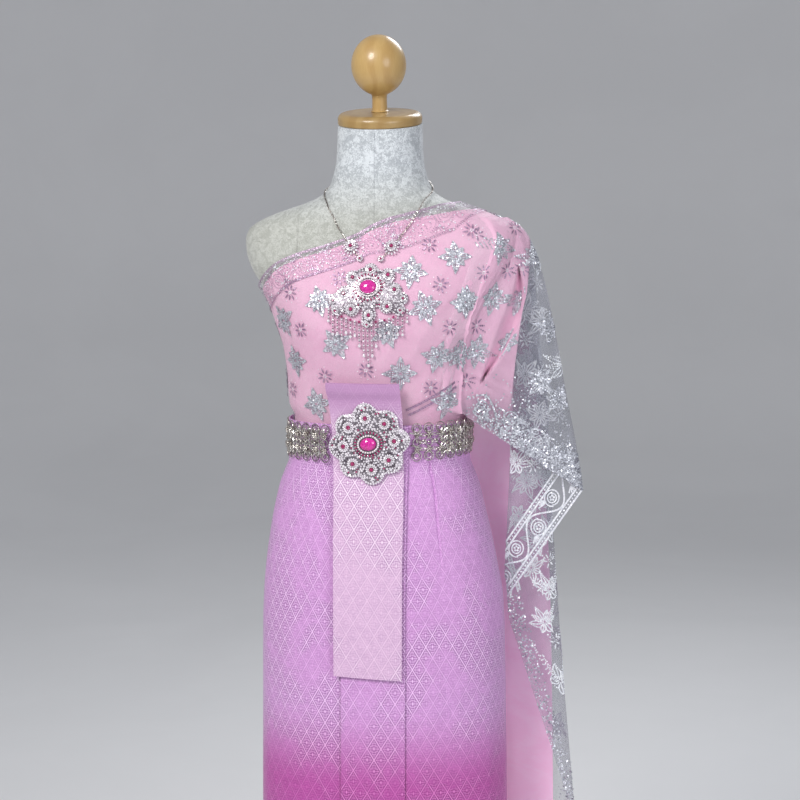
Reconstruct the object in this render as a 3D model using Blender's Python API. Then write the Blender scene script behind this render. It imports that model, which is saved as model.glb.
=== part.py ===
"""A Thai formal dress on a limbless dress form with a round floor stand.

The outfit is a brocade tube skirt with a front pleat, a lined tulle shoulder cloth that wraps the
chest and falls from the left shoulder, a folded sash panel, a chain belt with its buckle, and the
matching necklace. Metres, +Z up, the front faces -Y, and the origin is under the stand's centre.
"""

import math
from typing import NamedTuple

import bpy
import numpy as np

# Heights above the floor
HEM_Z = 0.060
FORM_FOOT_Z = 0.760
WAIST_Z = 1.015
SKIRT_TOP_Z = 1.046
SKIRT_EDGE_Z = 1.0415
BODICE_FOOT_Z = 1.004
NECK_TOP_Z = 1.449

# Walls, and how far each layer of cloth lies out from what is under it
LINING_WALL = 0.0012
TULLE_WALL = 0.0010
SKIRT_WALL = 0.0020
PLEAT_WALL = 0.0014
SASH_WALL = 0.0016
BELT_WALL = 0.0022
LINING_OUT = 0.0021
TULLE_OUT = LINING_OUT + LINING_WALL + 0.0006
BODICE_OUTSIDE = TULLE_OUT + TULLE_WALL
SEAM_ANGLE = 0.0030

# Bearings round the body: 0 is the wearer's left (+X), -90 degrees the front, 90 degrees the back
LEFT = 0.0
FRONT = -math.pi / 2
RIGHT = math.pi
SQUARENESS = 2.3

# The bust, as two soft rises of the general figure
BUST_RISE = 0.005
BUST_X = 0.066
BUST_Z = 1.172
BUST_SPREAD_X = 0.042
BUST_SPREAD_Z = 0.048

# The neck leans forward, so its top and the wooden cap tilt
CAP_TILT = math.radians(9)
TILT_FROM_Z = 1.365
CAP_RADIUS = 0.0585
CAP_HEIGHT = 0.0165
STEM_RADIUS = 0.0105
STEM_LENGTH = 0.022
BALL_RADIUS = 0.0378
BALL_HEIGHT = 0.083

POLE_RADIUS = 0.016
BASE_RADIUS = 0.165
BASE_HEIGHT = 0.016
SOCKET_RADIUS = 0.030
SOCKET_HEIGHT = 0.034


class Ring(NamedTuple):
    """One level section: how far it reaches to each side, forward and back of its middle."""

    z: float
    half_width: float
    front: float
    back: float
    middle_x: float = 0.0


FIGURE = [
    Ring(0.760, 0.138, 0.088, 0.100),
    Ring(0.767, 0.147, 0.095, 0.109),
    Ring(0.800, 0.152, 0.100, 0.115),
    Ring(0.870, 0.149, 0.100, 0.113),
    Ring(0.930, 0.136, 0.095, 0.103),
    Ring(0.980, 0.1180, 0.0860, 0.085),
    Ring(1.015, 0.1165, 0.0850, 0.083),
    Ring(1.044, 0.1164, 0.0852, 0.083),
    Ring(1.064, 0.1242, 0.0872, 0.086),
    Ring(1.106, 0.1268, 0.0940, 0.089),
    Ring(1.141, 0.1315, 0.1030, 0.093),
    Ring(1.176, 0.1425, 0.1080, 0.098),
    Ring(1.205, 0.1535, 0.1060, 0.101),
    Ring(1.232, 0.1690, 0.0985, 0.102),
    Ring(1.252, 0.1810, 0.0900, 0.101),
    Ring(1.274, 0.1880, 0.0795, 0.098),
    Ring(1.290, 0.1890, 0.0715, 0.094),
    Ring(1.303, 0.1850, 0.0660, 0.090),
    Ring(1.313, 0.1735, 0.0630, 0.086),
    Ring(1.325, 0.1480, 0.0605, 0.082),
    Ring(1.333, 0.1250, 0.0600, 0.080),
    Ring(1.340, 0.1040, 0.0597, 0.078),
    Ring(1.347, 0.0880, 0.0590, 0.075),
    Ring(1.356, 0.0750, 0.0578, 0.070),
    Ring(1.370, 0.0672, 0.0560, 0.065),
    Ring(1.400, 0.0600, 0.0545, 0.058),
    Ring(NECK_TOP_Z, 0.0578, 0.0560, 0.056),
]

SKIRT = [
    Ring(HEM_Z, 0.1715, 0.1120, 0.1260, 0.0050),
    Ring(0.250, 0.1725, 0.1130, 0.1275, 0.0052),
    Ring(0.480, 0.1728, 0.1140, 0.1290, 0.0053),
    Ring(0.629, 0.1712, 0.1140, 0.1310, 0.0048),
    Ring(0.746, 0.1695, 0.1130, 0.1310, 0.0040),
    Ring(0.790, 0.1675, 0.1120, 0.1295, 0.0036),
    Ring(0.833, 0.1620, 0.1100, 0.1270, 0.0016),
    Ring(0.877, 0.1546, 0.1070, 0.1220, 0.0002),
    Ring(0.920, 0.1455, 0.1020, 0.1140, -0.0010),
    Ring(0.949, 0.1385, 0.0975, 0.1060, -0.0010),
    Ring(0.968, 0.1315, 0.0945, 0.0985, -0.0010),
    Ring(0.985, 0.1252, 0.0925, 0.0922, -0.0010),
    Ring(WAIST_Z, 0.1245, 0.0920, 0.0915, -0.0010),
    Ring(SKIRT_TOP_Z, 0.1252, 0.0922, 0.0922, -0.0009),
    Ring(1.075, 0.1320, 0.0940, 0.0960, 0.0),
    Ring(1.100, 0.1335, 0.0990, 0.0980, 0.0),
]


class Edge(NamedTuple):
    """The bodice's top edge: its height at a bearing, in degrees."""

    bearing: float
    z: float


NECKLINE = [
    Edge(-180, 1.2240),
    Edge(-164, 1.2300),
    Edge(-146, 1.2446),
    Edge(-131, 1.2620),
    Edge(-117, 1.2750),
    Edge(-107, 1.2835),
    Edge(-99, 1.2930),
    Edge(-94, 1.3010),
    Edge(-89, 1.3150),
    Edge(-81, 1.3245),
    Edge(-64, 1.3320),
    Edge(-35, 1.3375),
    Edge(0, 1.3385),
    Edge(20, 1.3370),
    Edge(38, 1.3280),
    Edge(55, 1.3040),
    Edge(72, 1.2720),
    Edge(90, 1.2460),
    Edge(115, 1.2270),
    Edge(145, 1.2210),
    Edge(180, 1.2240),
]


class Gather(NamedTuple):
    """A soft fold in the bodice that runs from the belt up to the left shoulder."""

    foot_bearing: float
    top_bearing: float
    height: float
    spread: float


GATHERS = [
    Gather(-66, -30, 0.0016, 3.2),
    Gather(-54, -27, 0.0026, 3.0),
    Gather(-43, -24, 0.0030, 3.0),
    Gather(-32, -21, 0.0034, 3.0),
    Gather(-21, -17, 0.0030, 3.0),
]
GATHER_TOP_Z = 1.265

# The bodice's rows, as shares of its height: closest together over the shoulder
BODICE_ROWS = (0, 0.12, 0.18, 0.28, 0.38, 0.49, 0.60, 0.69, 0.765, 0.82, 0.862, 0.893)
BODICE_ROWS += (0.915, 0.932, 0.948, 0.965, 0.982, 1)
BACK_CLOSENESS = 0.05


class Strand(NamedTuple):
    """One place on a fold line of hanging cloth."""

    x: float
    y: float
    z: float


# The shoulder cloth falls in a cascade: each fold line hangs from the shoulder to the cloth's edge
DRAPE_FOLDS = {
    "front_edge": [
        Strand(0.1500, -0.034, 1.3160),
        Strand(0.1650, -0.048, 1.2900),
        Strand(0.1560, -0.066, 1.2450),
        Strand(0.1440, -0.074, 1.1900),
        Strand(0.1310, -0.070, 1.1400),
        Strand(0.1230, -0.058, 1.0900),
        Strand(0.1200, -0.050, 1.0520),
    ],
    "outer": [
        Strand(0.1780, -0.008, 1.3215),
        Strand(0.2010, -0.006, 1.3040),
        Strand(0.2210, -0.004, 1.2615),
        Strand(0.2390, -0.002, 1.1900),
        Strand(0.2590, 0.001, 1.0840),
        Strand(0.2755, 0.003, 1.0000),
        Strand(0.2840, 0.004, 0.9430),
    ],
    "inner": [
        Strand(0.1790, 0.003, 1.3175),
        Strand(0.1965, 0.002, 1.3000),
        Strand(0.2000, 0.000, 1.2750),
        Strand(0.1960, -0.004, 1.2300),
        Strand(0.1900, -0.004, 1.1500),
        Strand(0.1860, 0.004, 1.0700),
        Strand(0.1810, 0.018, 0.9800),
        Strand(0.1715, 0.030, 0.7745),
    ],
    "second_outer": [
        Strand(0.1830, 0.014, 1.3165),
        Strand(0.2010, 0.013, 1.3000),
        Strand(0.2090, 0.013, 1.2750),
        Strand(0.2140, 0.010, 1.2300),
        Strand(0.2215, 0.012, 1.1500),
        Strand(0.2310, 0.030, 1.0700),
        Strand(0.2350, 0.044, 0.9800),
        Strand(0.2480, 0.052, 0.7750),
        Strand(0.2760, 0.052, 0.4550),
    ],
    "second_inner": [
        Strand(0.1680, 0.052, 1.3110),
        Strand(0.1760, 0.066, 1.2850),
        Strand(0.1640, 0.098, 1.1800),
        Strand(0.1660, 0.112, 1.0700),
        Strand(0.1710, 0.114, 0.9800),
        Strand(0.1880, 0.110, 0.6500),
        Strand(0.1980, 0.100, 0.2600),
    ],
    "back_edge": [
        Strand(0.0990, 0.066, 1.3310),
        Strand(0.0750, 0.106, 1.2400),
        Strand(0.0400, 0.124, 1.0000),
        Strand(0.0280, 0.146, 0.8600),
        Strand(0.0240, 0.158, 0.7000),
        Strand(0.0200, 0.160, 0.4000),
        Strand(0.0200, 0.160, 0.0900),
    ],
}
DRAPE_COLUMNS = {"front_edge": 6, "outer": 5, "inner": 5, "second_outer": 5, "second_inner": 10}
DRAPE_ROWS = 14
DRAPE_WAVE = 0.005

TAIL_LINING = {
    "slit_edge": [
        Strand(0.1955, 0.007, 1.2960),
        Strand(0.1950, 0.004, 1.2700),
        Strand(0.1860, -0.002, 1.2350),
        Strand(0.1760, -0.004, 1.2090),
        Strand(0.1575, 0.004, 1.1500),
        Strand(0.1395, 0.022, 1.0720),
        Strand(0.1260, 0.078, 0.9800),
        Strand(0.0760, 0.122, 0.8700),
        Strand(0.0420, 0.141, 0.7400),
        Strand(0.0300, 0.145, 0.5000),
        Strand(0.0300, 0.145, 0.1100),
    ],
    "outer": [
        Strand(0.1935, 0.021, 1.2960),
        Strand(0.1945, 0.023, 1.2700),
        Strand(0.1985, 0.020, 1.2200),
        Strand(0.2070, 0.018, 1.1500),
        Strand(0.2165, 0.035, 1.0700),
        Strand(0.2255, 0.047, 0.9800),
        Strand(0.2370, 0.0556, 0.7750),
        Strand(0.2430, 0.0580, 0.4800),
        Strand(0.2460, 0.0590, 0.1100),
    ],
}
LINING_COLUMNS = 11
LINING_ROWS = 15
LINING_WAVE = 0.002

# Hanging cloth has its rows closer together at the top, where it bends over the shoulder, and
# keeps this far outside the bodice and the belted skirt
ROWS_TO_TOP = 1.6
BODICE_CLEAR = 0.0022
SKIRT_CLEAR = 0.0085
SEAT_GAP = 0.0004


class SashRow(NamedTuple):
    """A level of the folded sash panel: how far out of the skirt's surface, and its two edges."""

    z: float
    out: float
    left_x: float
    right_x: float


SASH = [
    SashRow(0.6970, 0.0093, -0.0455, 0.0490),
    SashRow(0.7700, 0.0089, -0.0460, 0.0490),
    SashRow(0.8500, 0.0089, -0.0465, 0.0490),
    SashRow(0.9200, 0.0089, -0.0470, 0.0490),
    SashRow(0.9700, 0.0089, -0.0475, 0.0485),
    SashRow(1.0150, 0.0089, -0.0480, 0.0480),
    SashRow(1.0500, 0.0091, -0.0500, 0.0470),
    SashRow(1.0740, 0.0097, -0.0525, 0.0455),
    SashRow(1.0870, 0.0120, -0.0540, 0.0445),
    SashRow(1.0940, 0.0112, -0.0545, 0.0440),
    SashRow(1.0945, 0.0085, -0.0545, 0.0440),
    SashRow(1.0870, 0.0084, -0.0535, 0.0430),
    SashRow(1.0500, 0.0084, -0.0480, 0.0420),
    SashRow(1.0020, 0.0084, -0.0450, 0.0420),
]
SASH_COLUMNS = 7
SASH_HEM_DROP = 0.004

PLEAT_LEFT_X = -0.0370
PLEAT_RIGHT_X = 0.0540
PLEAT_UNDER_X = -0.0300
PLEAT_TOP_Z = 1.0405
PLEAT_UNDER_OUT = 0.0034
PLEAT_OUT = 0.0054

DART_BEARING = math.radians(-47)
DART_FOOT_Z = 0.822
DART_DEPTH = 0.0016

BELT_HALF_HEIGHT = 0.0265
BELT_OUT = 0.0034
BELT_OUT_AT_BUCKLE = 0.0078
BELT_RISE = 0.0065
BELT_RISE_X = 0.120
BELT_RIGHT_END = math.radians(-59)
BELT_LEFT_END = math.radians(-112)
HOOK_RADIUS = 0.0011
HOOK_SPREAD = 0.0085
HOOK_GAP = 0.0009

BUCKLE_Z = 1.0180
BUCKLE_TILT = math.radians(7)
BUCKLE_BEND = 0.19
BUCKLE_Y = -0.1072


class Relief(NamedTuple):
    """A step on a thin plate, from its middle to its rim: the share of the rim, and how far out."""

    share: float
    out: float


BUCKLE_BACK = [Relief(0.30, -0.0028), Relief(0.65, -0.0018), Relief(1.0, 0.0)]
BUCKLE_FACE = [Relief(1.0, 0.0016), Relief(0.88, 0.0030), Relief(0.50, 0.0034), Relief(0.25, 0.0036)]
PENDANT_BACK = [Relief(0.40, 0.0), Relief(1.0, 0.0)]
PENDANT_FACE = [Relief(1.0, 0.0012), Relief(0.86, 0.0022), Relief(0.30, 0.0026)]
SETTING_BACK = [Relief(0.40, 0.0), Relief(1.0, 0.0)]
SETTING_FACE = [Relief(1.0, 0.0014), Relief(0.84, 0.0026), Relief(0.40, 0.0026)]
STONE_BACK = [Relief(0.40, 0.0), Relief(1.0, 0.0)]
STONE_FACE = [Relief(1.0, 0.0010), Relief(0.90, 0.0028), Relief(0.66, 0.0044), Relief(0.30, 0.0054)]
MOTIF_BACK = [Relief(0.50, 0.0), Relief(1.0, 0.0)]
MOTIF_FACE = [Relief(1.0, 0.0012), Relief(0.60, 0.0030)]
STONE_HALF_WIDTH = 0.0112
STONE_HALF_HEIGHT = 0.0088
SETTING_SIZE = 1.45
STONE_GAP = 0.0004

PENDANT_Z = 1.2270
PENDANT_OUT = BODICE_OUTSIDE + 0.0014


class Rim(NamedTuple):
    """The pendant's outline: how far it reaches at an angle, in degrees from the wearer's left."""

    angle: float
    radius: float


PENDANT_RIM = [
    Rim(-90, 0.0490),
    Rim(-72, 0.0480),
    Rim(-52, 0.0500),
    Rim(-34, 0.0575),
    Rim(-18, 0.0560),
    Rim(8, 0.0450),
    Rim(38, 0.0385),
    Rim(64, 0.0335),
    Rim(90, 0.0315),
]


class Link(NamedTuple):
    """A place on the necklace's chain, on the left half: its height and its bearing in degrees."""

    z: float
    bearing: float


CHAIN_HALF = [
    Link(1.3800, 90),
    Link(1.3790, 62),
    Link(1.3740, 35),
    Link(1.3650, 12),
    Link(1.3580, -6),
    Link(1.3500, -32),
    Link(1.3400, -54),
    Link(1.3250, -70.5),
    Link(1.3065, -77.8),
    Link(1.2790, -83.7),
    Link(1.2620, -87.4),
]
CHAIN_RADIUS = 0.0011
CHAIN_GAP = 0.0010
CHAIN_POINTS = 48
MOTIF_PLACE = Link(1.2790, 6.3)
MOTIF_RADIUS = 0.0085
MOTIF_OUT = BODICE_OUTSIDE + CHAIN_GAP + 2 * CHAIN_RADIUS + 0.0002


class Finish(NamedTuple):
    """A material's base colour, roughness and metallic value."""

    color: tuple
    roughness: float
    metallic: float = 0.0


FINISHES = {
    "form_velvet": Finish((0.66, 0.66, 0.62), 0.85),
    "wood": Finish((0.62, 0.38, 0.16), 0.35),
    "steel": Finish((0.72, 0.72, 0.74), 0.30, 1.0),
    "pink_satin": Finish((0.80, 0.46, 0.60), 0.50),
    "silver_tulle": Finish((0.80, 0.72, 0.78), 0.60),
    "brocade": Finish((0.66, 0.33, 0.66), 0.45),
    "sash_brocade": Finish((0.76, 0.52, 0.74), 0.45),
    "belt_silver": Finish((0.62, 0.60, 0.57), 0.30, 1.0),
    "rhinestone": Finish((0.86, 0.86, 0.88), 0.20, 1.0),
    "ruby": Finish((0.72, 0.03, 0.32), 0.10),
}


def smooth_through(places, values, at):
    """Values at new places on a curve through the given ones that never overshoots them."""
    places = np.asarray(places, float)
    values = np.asarray(values, float)
    at = np.clip(at, places[0], places[-1])
    widths = np.diff(places)
    slopes = np.diff(values) / widths
    tangents = np.zeros(len(places))
    tangents[0], tangents[-1] = slopes[0], slopes[-1]
    same_way = slopes[:-1] * slopes[1:] > 0
    before, after = slopes[:-1][same_way], slopes[1:][same_way]
    tangents[1:-1][same_way] = 2 * before * after / (before + after)
    left = np.clip(np.searchsorted(places, at, side="right") - 1, 0, len(widths) - 1)
    width = widths[left]
    t = (at - places[left]) / width
    return (
        values[left] * (1 + 2 * t) * (1 - t) ** 2
        + tangents[left] * width * t * (1 - t) ** 2
        + values[left + 1] * t * t * (3 - 2 * t)
        + tangents[left + 1] * width * t * t * (t - 1)
    )


def section(rings, z, column):
    """One column of a table of rings at heights z."""
    heights = [ring.z for ring in rings]
    return smooth_through(heights, [getattr(ring, column) for ring in rings], z)


def oval(rings, squareness, z, bearing):
    """Points of a body of level ovals, at heights z and bearings."""
    z, bearing = np.broadcast_arrays(np.asarray(z, float), np.asarray(bearing, float))
    across, ahead = np.cos(bearing), np.sin(bearing)
    depth = np.where(ahead < 0, section(rings, z, "front"), section(rings, z, "back"))
    power = 2 / squareness
    x = section(rings, z, "half_width") * np.sign(across) * np.abs(across) ** power
    y = depth * np.sign(ahead) * np.abs(ahead) ** power
    return np.stack([x + section(rings, z, "middle_x"), y, z], axis=-1)


def figure(z, bearing):
    """The dress form's own surface."""
    points = oval(FIGURE, SQUARENESS, z, bearing)
    x, y, height = points[..., 0], points[..., 1], points[..., 2]
    side = np.exp(-(((np.abs(x) - BUST_X) / BUST_SPREAD_X) ** 2))
    level = np.exp(-(((height - BUST_Z) / BUST_SPREAD_Z) ** 2))
    facing = np.clip(-np.sin(bearing), 0, 1)
    points[..., 1] = y - BUST_RISE * side * level * facing
    share = np.clip((height - TILT_FROM_Z) / (NECK_TOP_Z - TILT_FROM_Z), 0, 1) ** 2
    points[..., 2] = height + share * y * math.tan(CAP_TILT)
    return points


def skirt(z, bearing):
    """The skirt cloth's inner surface."""
    return oval(SKIRT, SQUARENESS, z, bearing)


def moved_out(surface, z, bearing, out):
    """Points of a surface moved out along its normals."""
    z, bearing = np.broadcast_arrays(np.asarray(z, float), np.asarray(bearing, float))
    step = 1e-3
    around = surface(z, bearing + step) - surface(z, bearing - step)
    up = surface(z + step, bearing) - surface(z - step, bearing)
    normal = np.cross(around, up)
    normal /= np.linalg.norm(normal, axis=-1, keepdims=True)
    return surface(z, bearing) + normal * np.asarray(out, float)[..., None]


def front_bearing(rings, squareness, z, x):
    """The bearing at which the front of a body of ovals reaches x."""
    reach = (x - section(rings, z, "middle_x")) / section(rings, z, "half_width")
    across = np.sign(reach) * np.abs(reach) ** (squareness / 2)
    return -np.arccos(np.clip(across, -1, 1))


def on_skirt_front(x, z, out):
    """Points in front of the skirt at places x and heights z, this far out of its inner surface."""
    x, z = np.broadcast_arrays(np.asarray(x, float), np.asarray(z, float))
    return moved_out(skirt, z, front_bearing(SKIRT, SQUARENESS, z, x), out + 0 * x)


def on_chest(x, z, out):
    """Points on the chest at places x and heights z, this far out of the form."""
    x, z = np.broadcast_arrays(np.asarray(x, float), np.asarray(z, float))
    return moved_out(figure, z, front_bearing(FIGURE, SQUARENESS, z, x), out + 0 * x)


def material(finish_name):
    """The named finish as a material, made once."""
    found = bpy.data.materials.get(finish_name)
    if found:
        return found
    finish = FINISHES[finish_name]
    made = bpy.data.materials.new(finish_name)
    made.use_nodes = True
    shader = made.node_tree.nodes["Principled BSDF"]
    shader.inputs["Base Color"].default_value = (*finish.color, 1)
    shader.inputs["Roughness"].default_value = finish.roughness
    shader.inputs["Metallic"].default_value = finish.metallic
    return made


def add_object(name, points, faces, finish_name, smooth_angle=40):
    """An object from points and faces."""
    mesh = bpy.data.meshes.new(name)
    mesh.from_pydata([tuple(p) for p in points], [], faces)
    mesh.materials.append(material(finish_name))
    mesh.shade_smooth()
    mesh.set_sharp_from_angle(angle=math.radians(smooth_angle))
    made = bpy.data.objects.new(name, mesh)
    bpy.context.scene.collection.objects.link(made)
    return made


def grid_faces(rows, columns, around=False):
    """Quads between the points of a grid, in the order of its rows."""
    last = columns if around else columns - 1
    return [
        (
            row * columns + column,
            row * columns + (column + 1) % columns,
            (row + 1) * columns + (column + 1) % columns,
            (row + 1) * columns + column,
        )
        for row in range(rows - 1)
        for column in range(last)
    ]


def add_cloth(name, grid, wall, finish_name):
    """A wall of cloth on a grid of points whose normals face out: the wall grows outward."""
    rows, columns = grid.shape[:2]
    made = add_object(name, grid.reshape(-1, 3), grid_faces(rows, columns), finish_name)
    solid = made.modifiers.new("wall", "SOLIDIFY")
    solid.thickness = wall
    solid.offset = 1
    return made


def add_stack(name, rings, finish_name):
    """A closed solid from rings of points, each level joined to the next, ends filled."""
    count = len(rings[0])
    faces = grid_faces(len(rings), count, around=True)
    faces.append(tuple(reversed(range(count))))
    faces.append(tuple(range((len(rings) - 1) * count, len(rings) * count)))
    return add_object(name, np.concatenate(rings), faces, finish_name)


def circle(radius, z, sides):
    """A level circle of points about the Z axis."""
    turns = np.linspace(0, 2 * math.pi, sides, endpoint=False)
    return np.stack([radius * np.cos(turns), radius * np.sin(turns), 0 * turns + z], axis=-1)


def add_turned(name, profile, sides, finish_name):
    """A turned solid: profile is (radius, height) pairs from bottom to top."""
    return add_stack(name, [circle(radius, z, sides) for radius, z in profile], finish_name)


def add_form():
    """The padded torso and neck."""
    bearings = np.linspace(0, 2 * math.pi, 32, endpoint=False)
    add_stack("form_body", [figure(ring.z, bearings) for ring in FIGURE], "form_velvet")


def add_neck_wood():
    """The cap on the neck, with the turned stem and ball on it, all leaning with the neck."""
    edge = 0.005
    cap_profile = [
        (CAP_RADIUS - 0.001, 0.0),
        (CAP_RADIUS, 0.002),
        (CAP_RADIUS, CAP_HEIGHT * 0.45),
        (CAP_RADIUS - 0.0015, CAP_HEIGHT * 0.75),
        (CAP_RADIUS - edge, CAP_HEIGHT * 0.95),
        (CAP_RADIUS - 2.4 * edge, CAP_HEIGHT),
    ]
    cap = add_turned("neck_cap", cap_profile, 36, "wood")
    stem_top = CAP_HEIGHT + 0.0003 + STEM_LENGTH
    ball_steps = 10
    profile = [(STEM_RADIUS, CAP_HEIGHT + 0.0003), (STEM_RADIUS, stem_top)]
    first_turn = math.asin(STEM_RADIUS / BALL_RADIUS)
    for step in range(1, ball_steps + 1):
        turn = first_turn + (math.pi - first_turn) * step / (ball_steps + 0.35)
        radius = BALL_RADIUS * math.sin(turn)
        profile.append((radius, stem_top + BALL_HEIGHT / 2 * (1 - math.cos(turn))))
    ball = add_turned("neck_ball", profile, 24, "wood")
    for piece in (cap, ball):
        piece.location = (0, 0, NECK_TOP_Z + 0.0004)
        piece.rotation_euler = (CAP_TILT, 0, 0)


def add_stand():
    """The weighted round base, its socket and the pole up into the form."""
    base_profile = [
        (BASE_RADIUS - 0.002, 0.0),
        (BASE_RADIUS, 0.002),
        (BASE_RADIUS, 0.008),
        (BASE_RADIUS - 0.006, 0.012),
        (SOCKET_RADIUS + 0.02, BASE_HEIGHT),
    ]
    add_turned("stand_base", base_profile, 48, "steel")
    socket_foot = BASE_HEIGHT + 0.0003
    socket_profile = [
        (SOCKET_RADIUS, socket_foot),
        (SOCKET_RADIUS, socket_foot + 0.006),
        (POLE_RADIUS + 0.006, socket_foot + SOCKET_HEIGHT),
    ]
    add_turned("stand_socket", socket_profile, 28, "steel")
    pole_foot = socket_foot + SOCKET_HEIGHT + 0.0003
    pole_profile = [(POLE_RADIUS, pole_foot), (POLE_RADIUS, FORM_FOOT_Z - 0.0003)]
    add_turned("stand_pole", pole_profile, 24, "steel")


def neckline(bearing):
    """The height of the bodice's top edge at these bearings."""
    degrees = np.degrees(bearing)
    return smooth_through([e.bearing for e in NECKLINE], [e.z for e in NECKLINE], degrees)


def gather_rise(z, bearing):
    """How far the bodice's soft folds stand out."""
    degrees = np.degrees(bearing)
    share = np.clip((z - SKIRT_TOP_Z) / (GATHER_TOP_Z - SKIRT_TOP_Z), 0, 1)
    fade = np.clip((z - SKIRT_TOP_Z - 0.005) / 0.05, 0, 1) * (1 - share**3)
    rise = 0 * z * bearing
    for fold in GATHERS:
        middle = fold.foot_bearing + (fold.top_bearing - fold.foot_bearing) * share
        rise = rise + fold.height * np.exp(-(((degrees - middle) / fold.spread) ** 2))
    return rise * fade


def bodice_grid(start, end, columns, out, closeness=0.0):
    """A part of the wrap between two bearings, its columns drawn towards its sides by closeness."""
    even = np.linspace(0, 1, columns)
    bearings = start + (end - start) * (even - closeness * np.sin(2 * math.pi * even))
    z = BODICE_FOOT_Z + (neckline(bearings) - BODICE_FOOT_Z) * np.array(BODICE_ROWS)[:, None]
    bearings = np.broadcast_to(bearings, z.shape)
    return moved_out(figure, z, bearings, out + gather_rise(z, bearings))


def add_bodice():
    """The pink satin wrap, and the embroidered tulle over it, each with a front and a back."""
    for name, out, wall, finish_name in (
        ("bodice", LINING_OUT, LINING_WALL, "pink_satin"),
        ("shoulder_cloth", TULLE_OUT, TULLE_WALL, "silver_tulle"),
    ):
        front = bodice_grid(-RIGHT + SEAM_ANGLE, LEFT - SEAM_ANGLE, 22, out)
        back = bodice_grid(LEFT + SEAM_ANGLE, RIGHT - SEAM_ANGLE, 15, out, BACK_CLOSENESS)
        add_cloth(f"{name}_front", front, wall, finish_name)
        add_cloth(f"{name}_back", back, wall, finish_name)


def fold_line(strands, rows):
    """Points down one fold line, evenly spaced along it."""
    points = np.array(strands)
    lengths = np.concatenate([[0], np.cumsum(np.linalg.norm(np.diff(points, axis=0), axis=1))])
    at = lengths[-1] * np.linspace(0, 1, rows) ** ROWS_TO_TOP
    return np.stack([smooth_through(lengths, points[:, axis], at) for axis in range(3)], axis=-1)


def hanging_grid(lines, columns_between):
    """Cloth that turns back on itself at each fold line: eased across, even in depth."""
    columns = []
    for line, following, count in zip(lines[:-1], lines[1:], columns_between):
        for share in np.arange(count) / count:
            eased = (1 - math.cos(math.pi * share)) / 2
            columns.append(line + (following - line) * np.array([eased, share, eased]))
    columns.append(lines[-1])
    return np.stack(columns, axis=1)


def clothed(z, bearing):
    """The bodice's outside."""
    return moved_out(figure, z, bearing, BODICE_OUTSIDE + gather_rise(z, bearing))


def kept_clear(points, surface, z_from, z_to, gap, settle=False):
    """Points moved out to this gap from a surface; settled ones are drawn in to it too."""
    heights, turns = np.meshgrid(
        np.arange(z_from, z_to, 0.007), np.linspace(-math.pi, math.pi, 120), indexing="ij"
    )
    near = moved_out(surface, heights, turns, 0 * heights).reshape(-1, 3)
    normals = moved_out(surface, heights, turns, 0 * heights + 1).reshape(-1, 3) - near
    flat = points.reshape(-1, 3)
    closest = ((flat[:, None] - near[None]) ** 2).sum(axis=-1).argmin(axis=1)
    distance = ((flat - near[closest]) * normals[closest]).sum(axis=-1)
    step = gap - distance if settle else np.maximum(gap - distance, 0)
    return (flat + normals[closest] * step[:, None]).reshape(points.shape)


def seated(points, gap):
    """Points drawn in to the bodice, to lie on it at this gap."""
    return kept_clear(points, clothed, SKIRT_TOP_Z, TILT_FROM_Z, gap, settle=True)


def clear_of_body(points):
    """Hanging cloth kept outside the bodice and the skirt."""
    above = kept_clear(points, clothed, SKIRT_TOP_Z, TILT_FROM_Z, BODICE_CLEAR)
    return kept_clear(above, skirt, HEM_Z, SKIRT_TOP_Z, SKIRT_CLEAR)


def add_drape():
    """The tulle that falls from the shoulder in a cascade."""
    lines = [fold_line(strands, DRAPE_ROWS) for strands in DRAPE_FOLDS.values()]
    lines[0] = seated(lines[0], BODICE_CLEAR)
    grid = hanging_grid(lines, DRAPE_COLUMNS.values())
    down = np.linspace(0, 1, DRAPE_ROWS)[:, None]
    first = sum(list(DRAPE_COLUMNS.values())[:-1])
    across = np.linspace(0, 1, grid.shape[1] - first)
    waves = DRAPE_WAVE * np.sin(across * 6 * math.pi) * np.sin(across * math.pi)
    grid[:, first:, 1] += waves * down**0.6
    add_cloth("shoulder_drape", clear_of_body(grid)[::-1], TULLE_WALL, "silver_tulle")


def add_tail_lining():
    """The pink satin that hangs behind the tulle."""
    lines = [fold_line(strands, LINING_ROWS) for strands in TAIL_LINING.values()]
    share = np.linspace(0, 1, LINING_COLUMNS)[:, None, None]
    grid = (lines[0] + (lines[1] - lines[0]) * share).swapaxes(0, 1)
    down = np.linspace(0, 1, LINING_ROWS)[:, None]
    grid[:, :, 1] += LINING_WAVE * np.sin(share[:, 0, 0] * 5 * math.pi) * down**0.7
    grid = clear_of_body(grid)
    grid[0] = seated(grid[0], SEAT_GAP)
    add_cloth("tail_lining", grid[::-1], LINING_WALL, "pink_satin")


def dart_depth(z, bearing):
    """How far the sewn dart pulls the skirt in."""
    down = np.clip((z - DART_FOOT_Z) / (SKIRT_TOP_Z - DART_FOOT_Z), 0, 1)
    return DART_DEPTH * np.sqrt(down) * np.exp(-(((bearing - DART_BEARING) / 0.035) ** 2))


def skirt_rows(top):
    """The heights of the skirt's own rings up to a top edge, as a column."""
    return np.array([ring.z for ring in SKIRT if ring.z < top - 0.004] + [top])[:, None]


def skirt_grid(bearings):
    """A panel of the skirt from its hem to its top edge."""
    z = skirt_rows(SKIRT_EDGE_Z)
    z, bearings = np.broadcast_arrays(z, bearings)
    return moved_out(skirt, z, bearings, -dart_depth(z, bearings))


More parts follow.
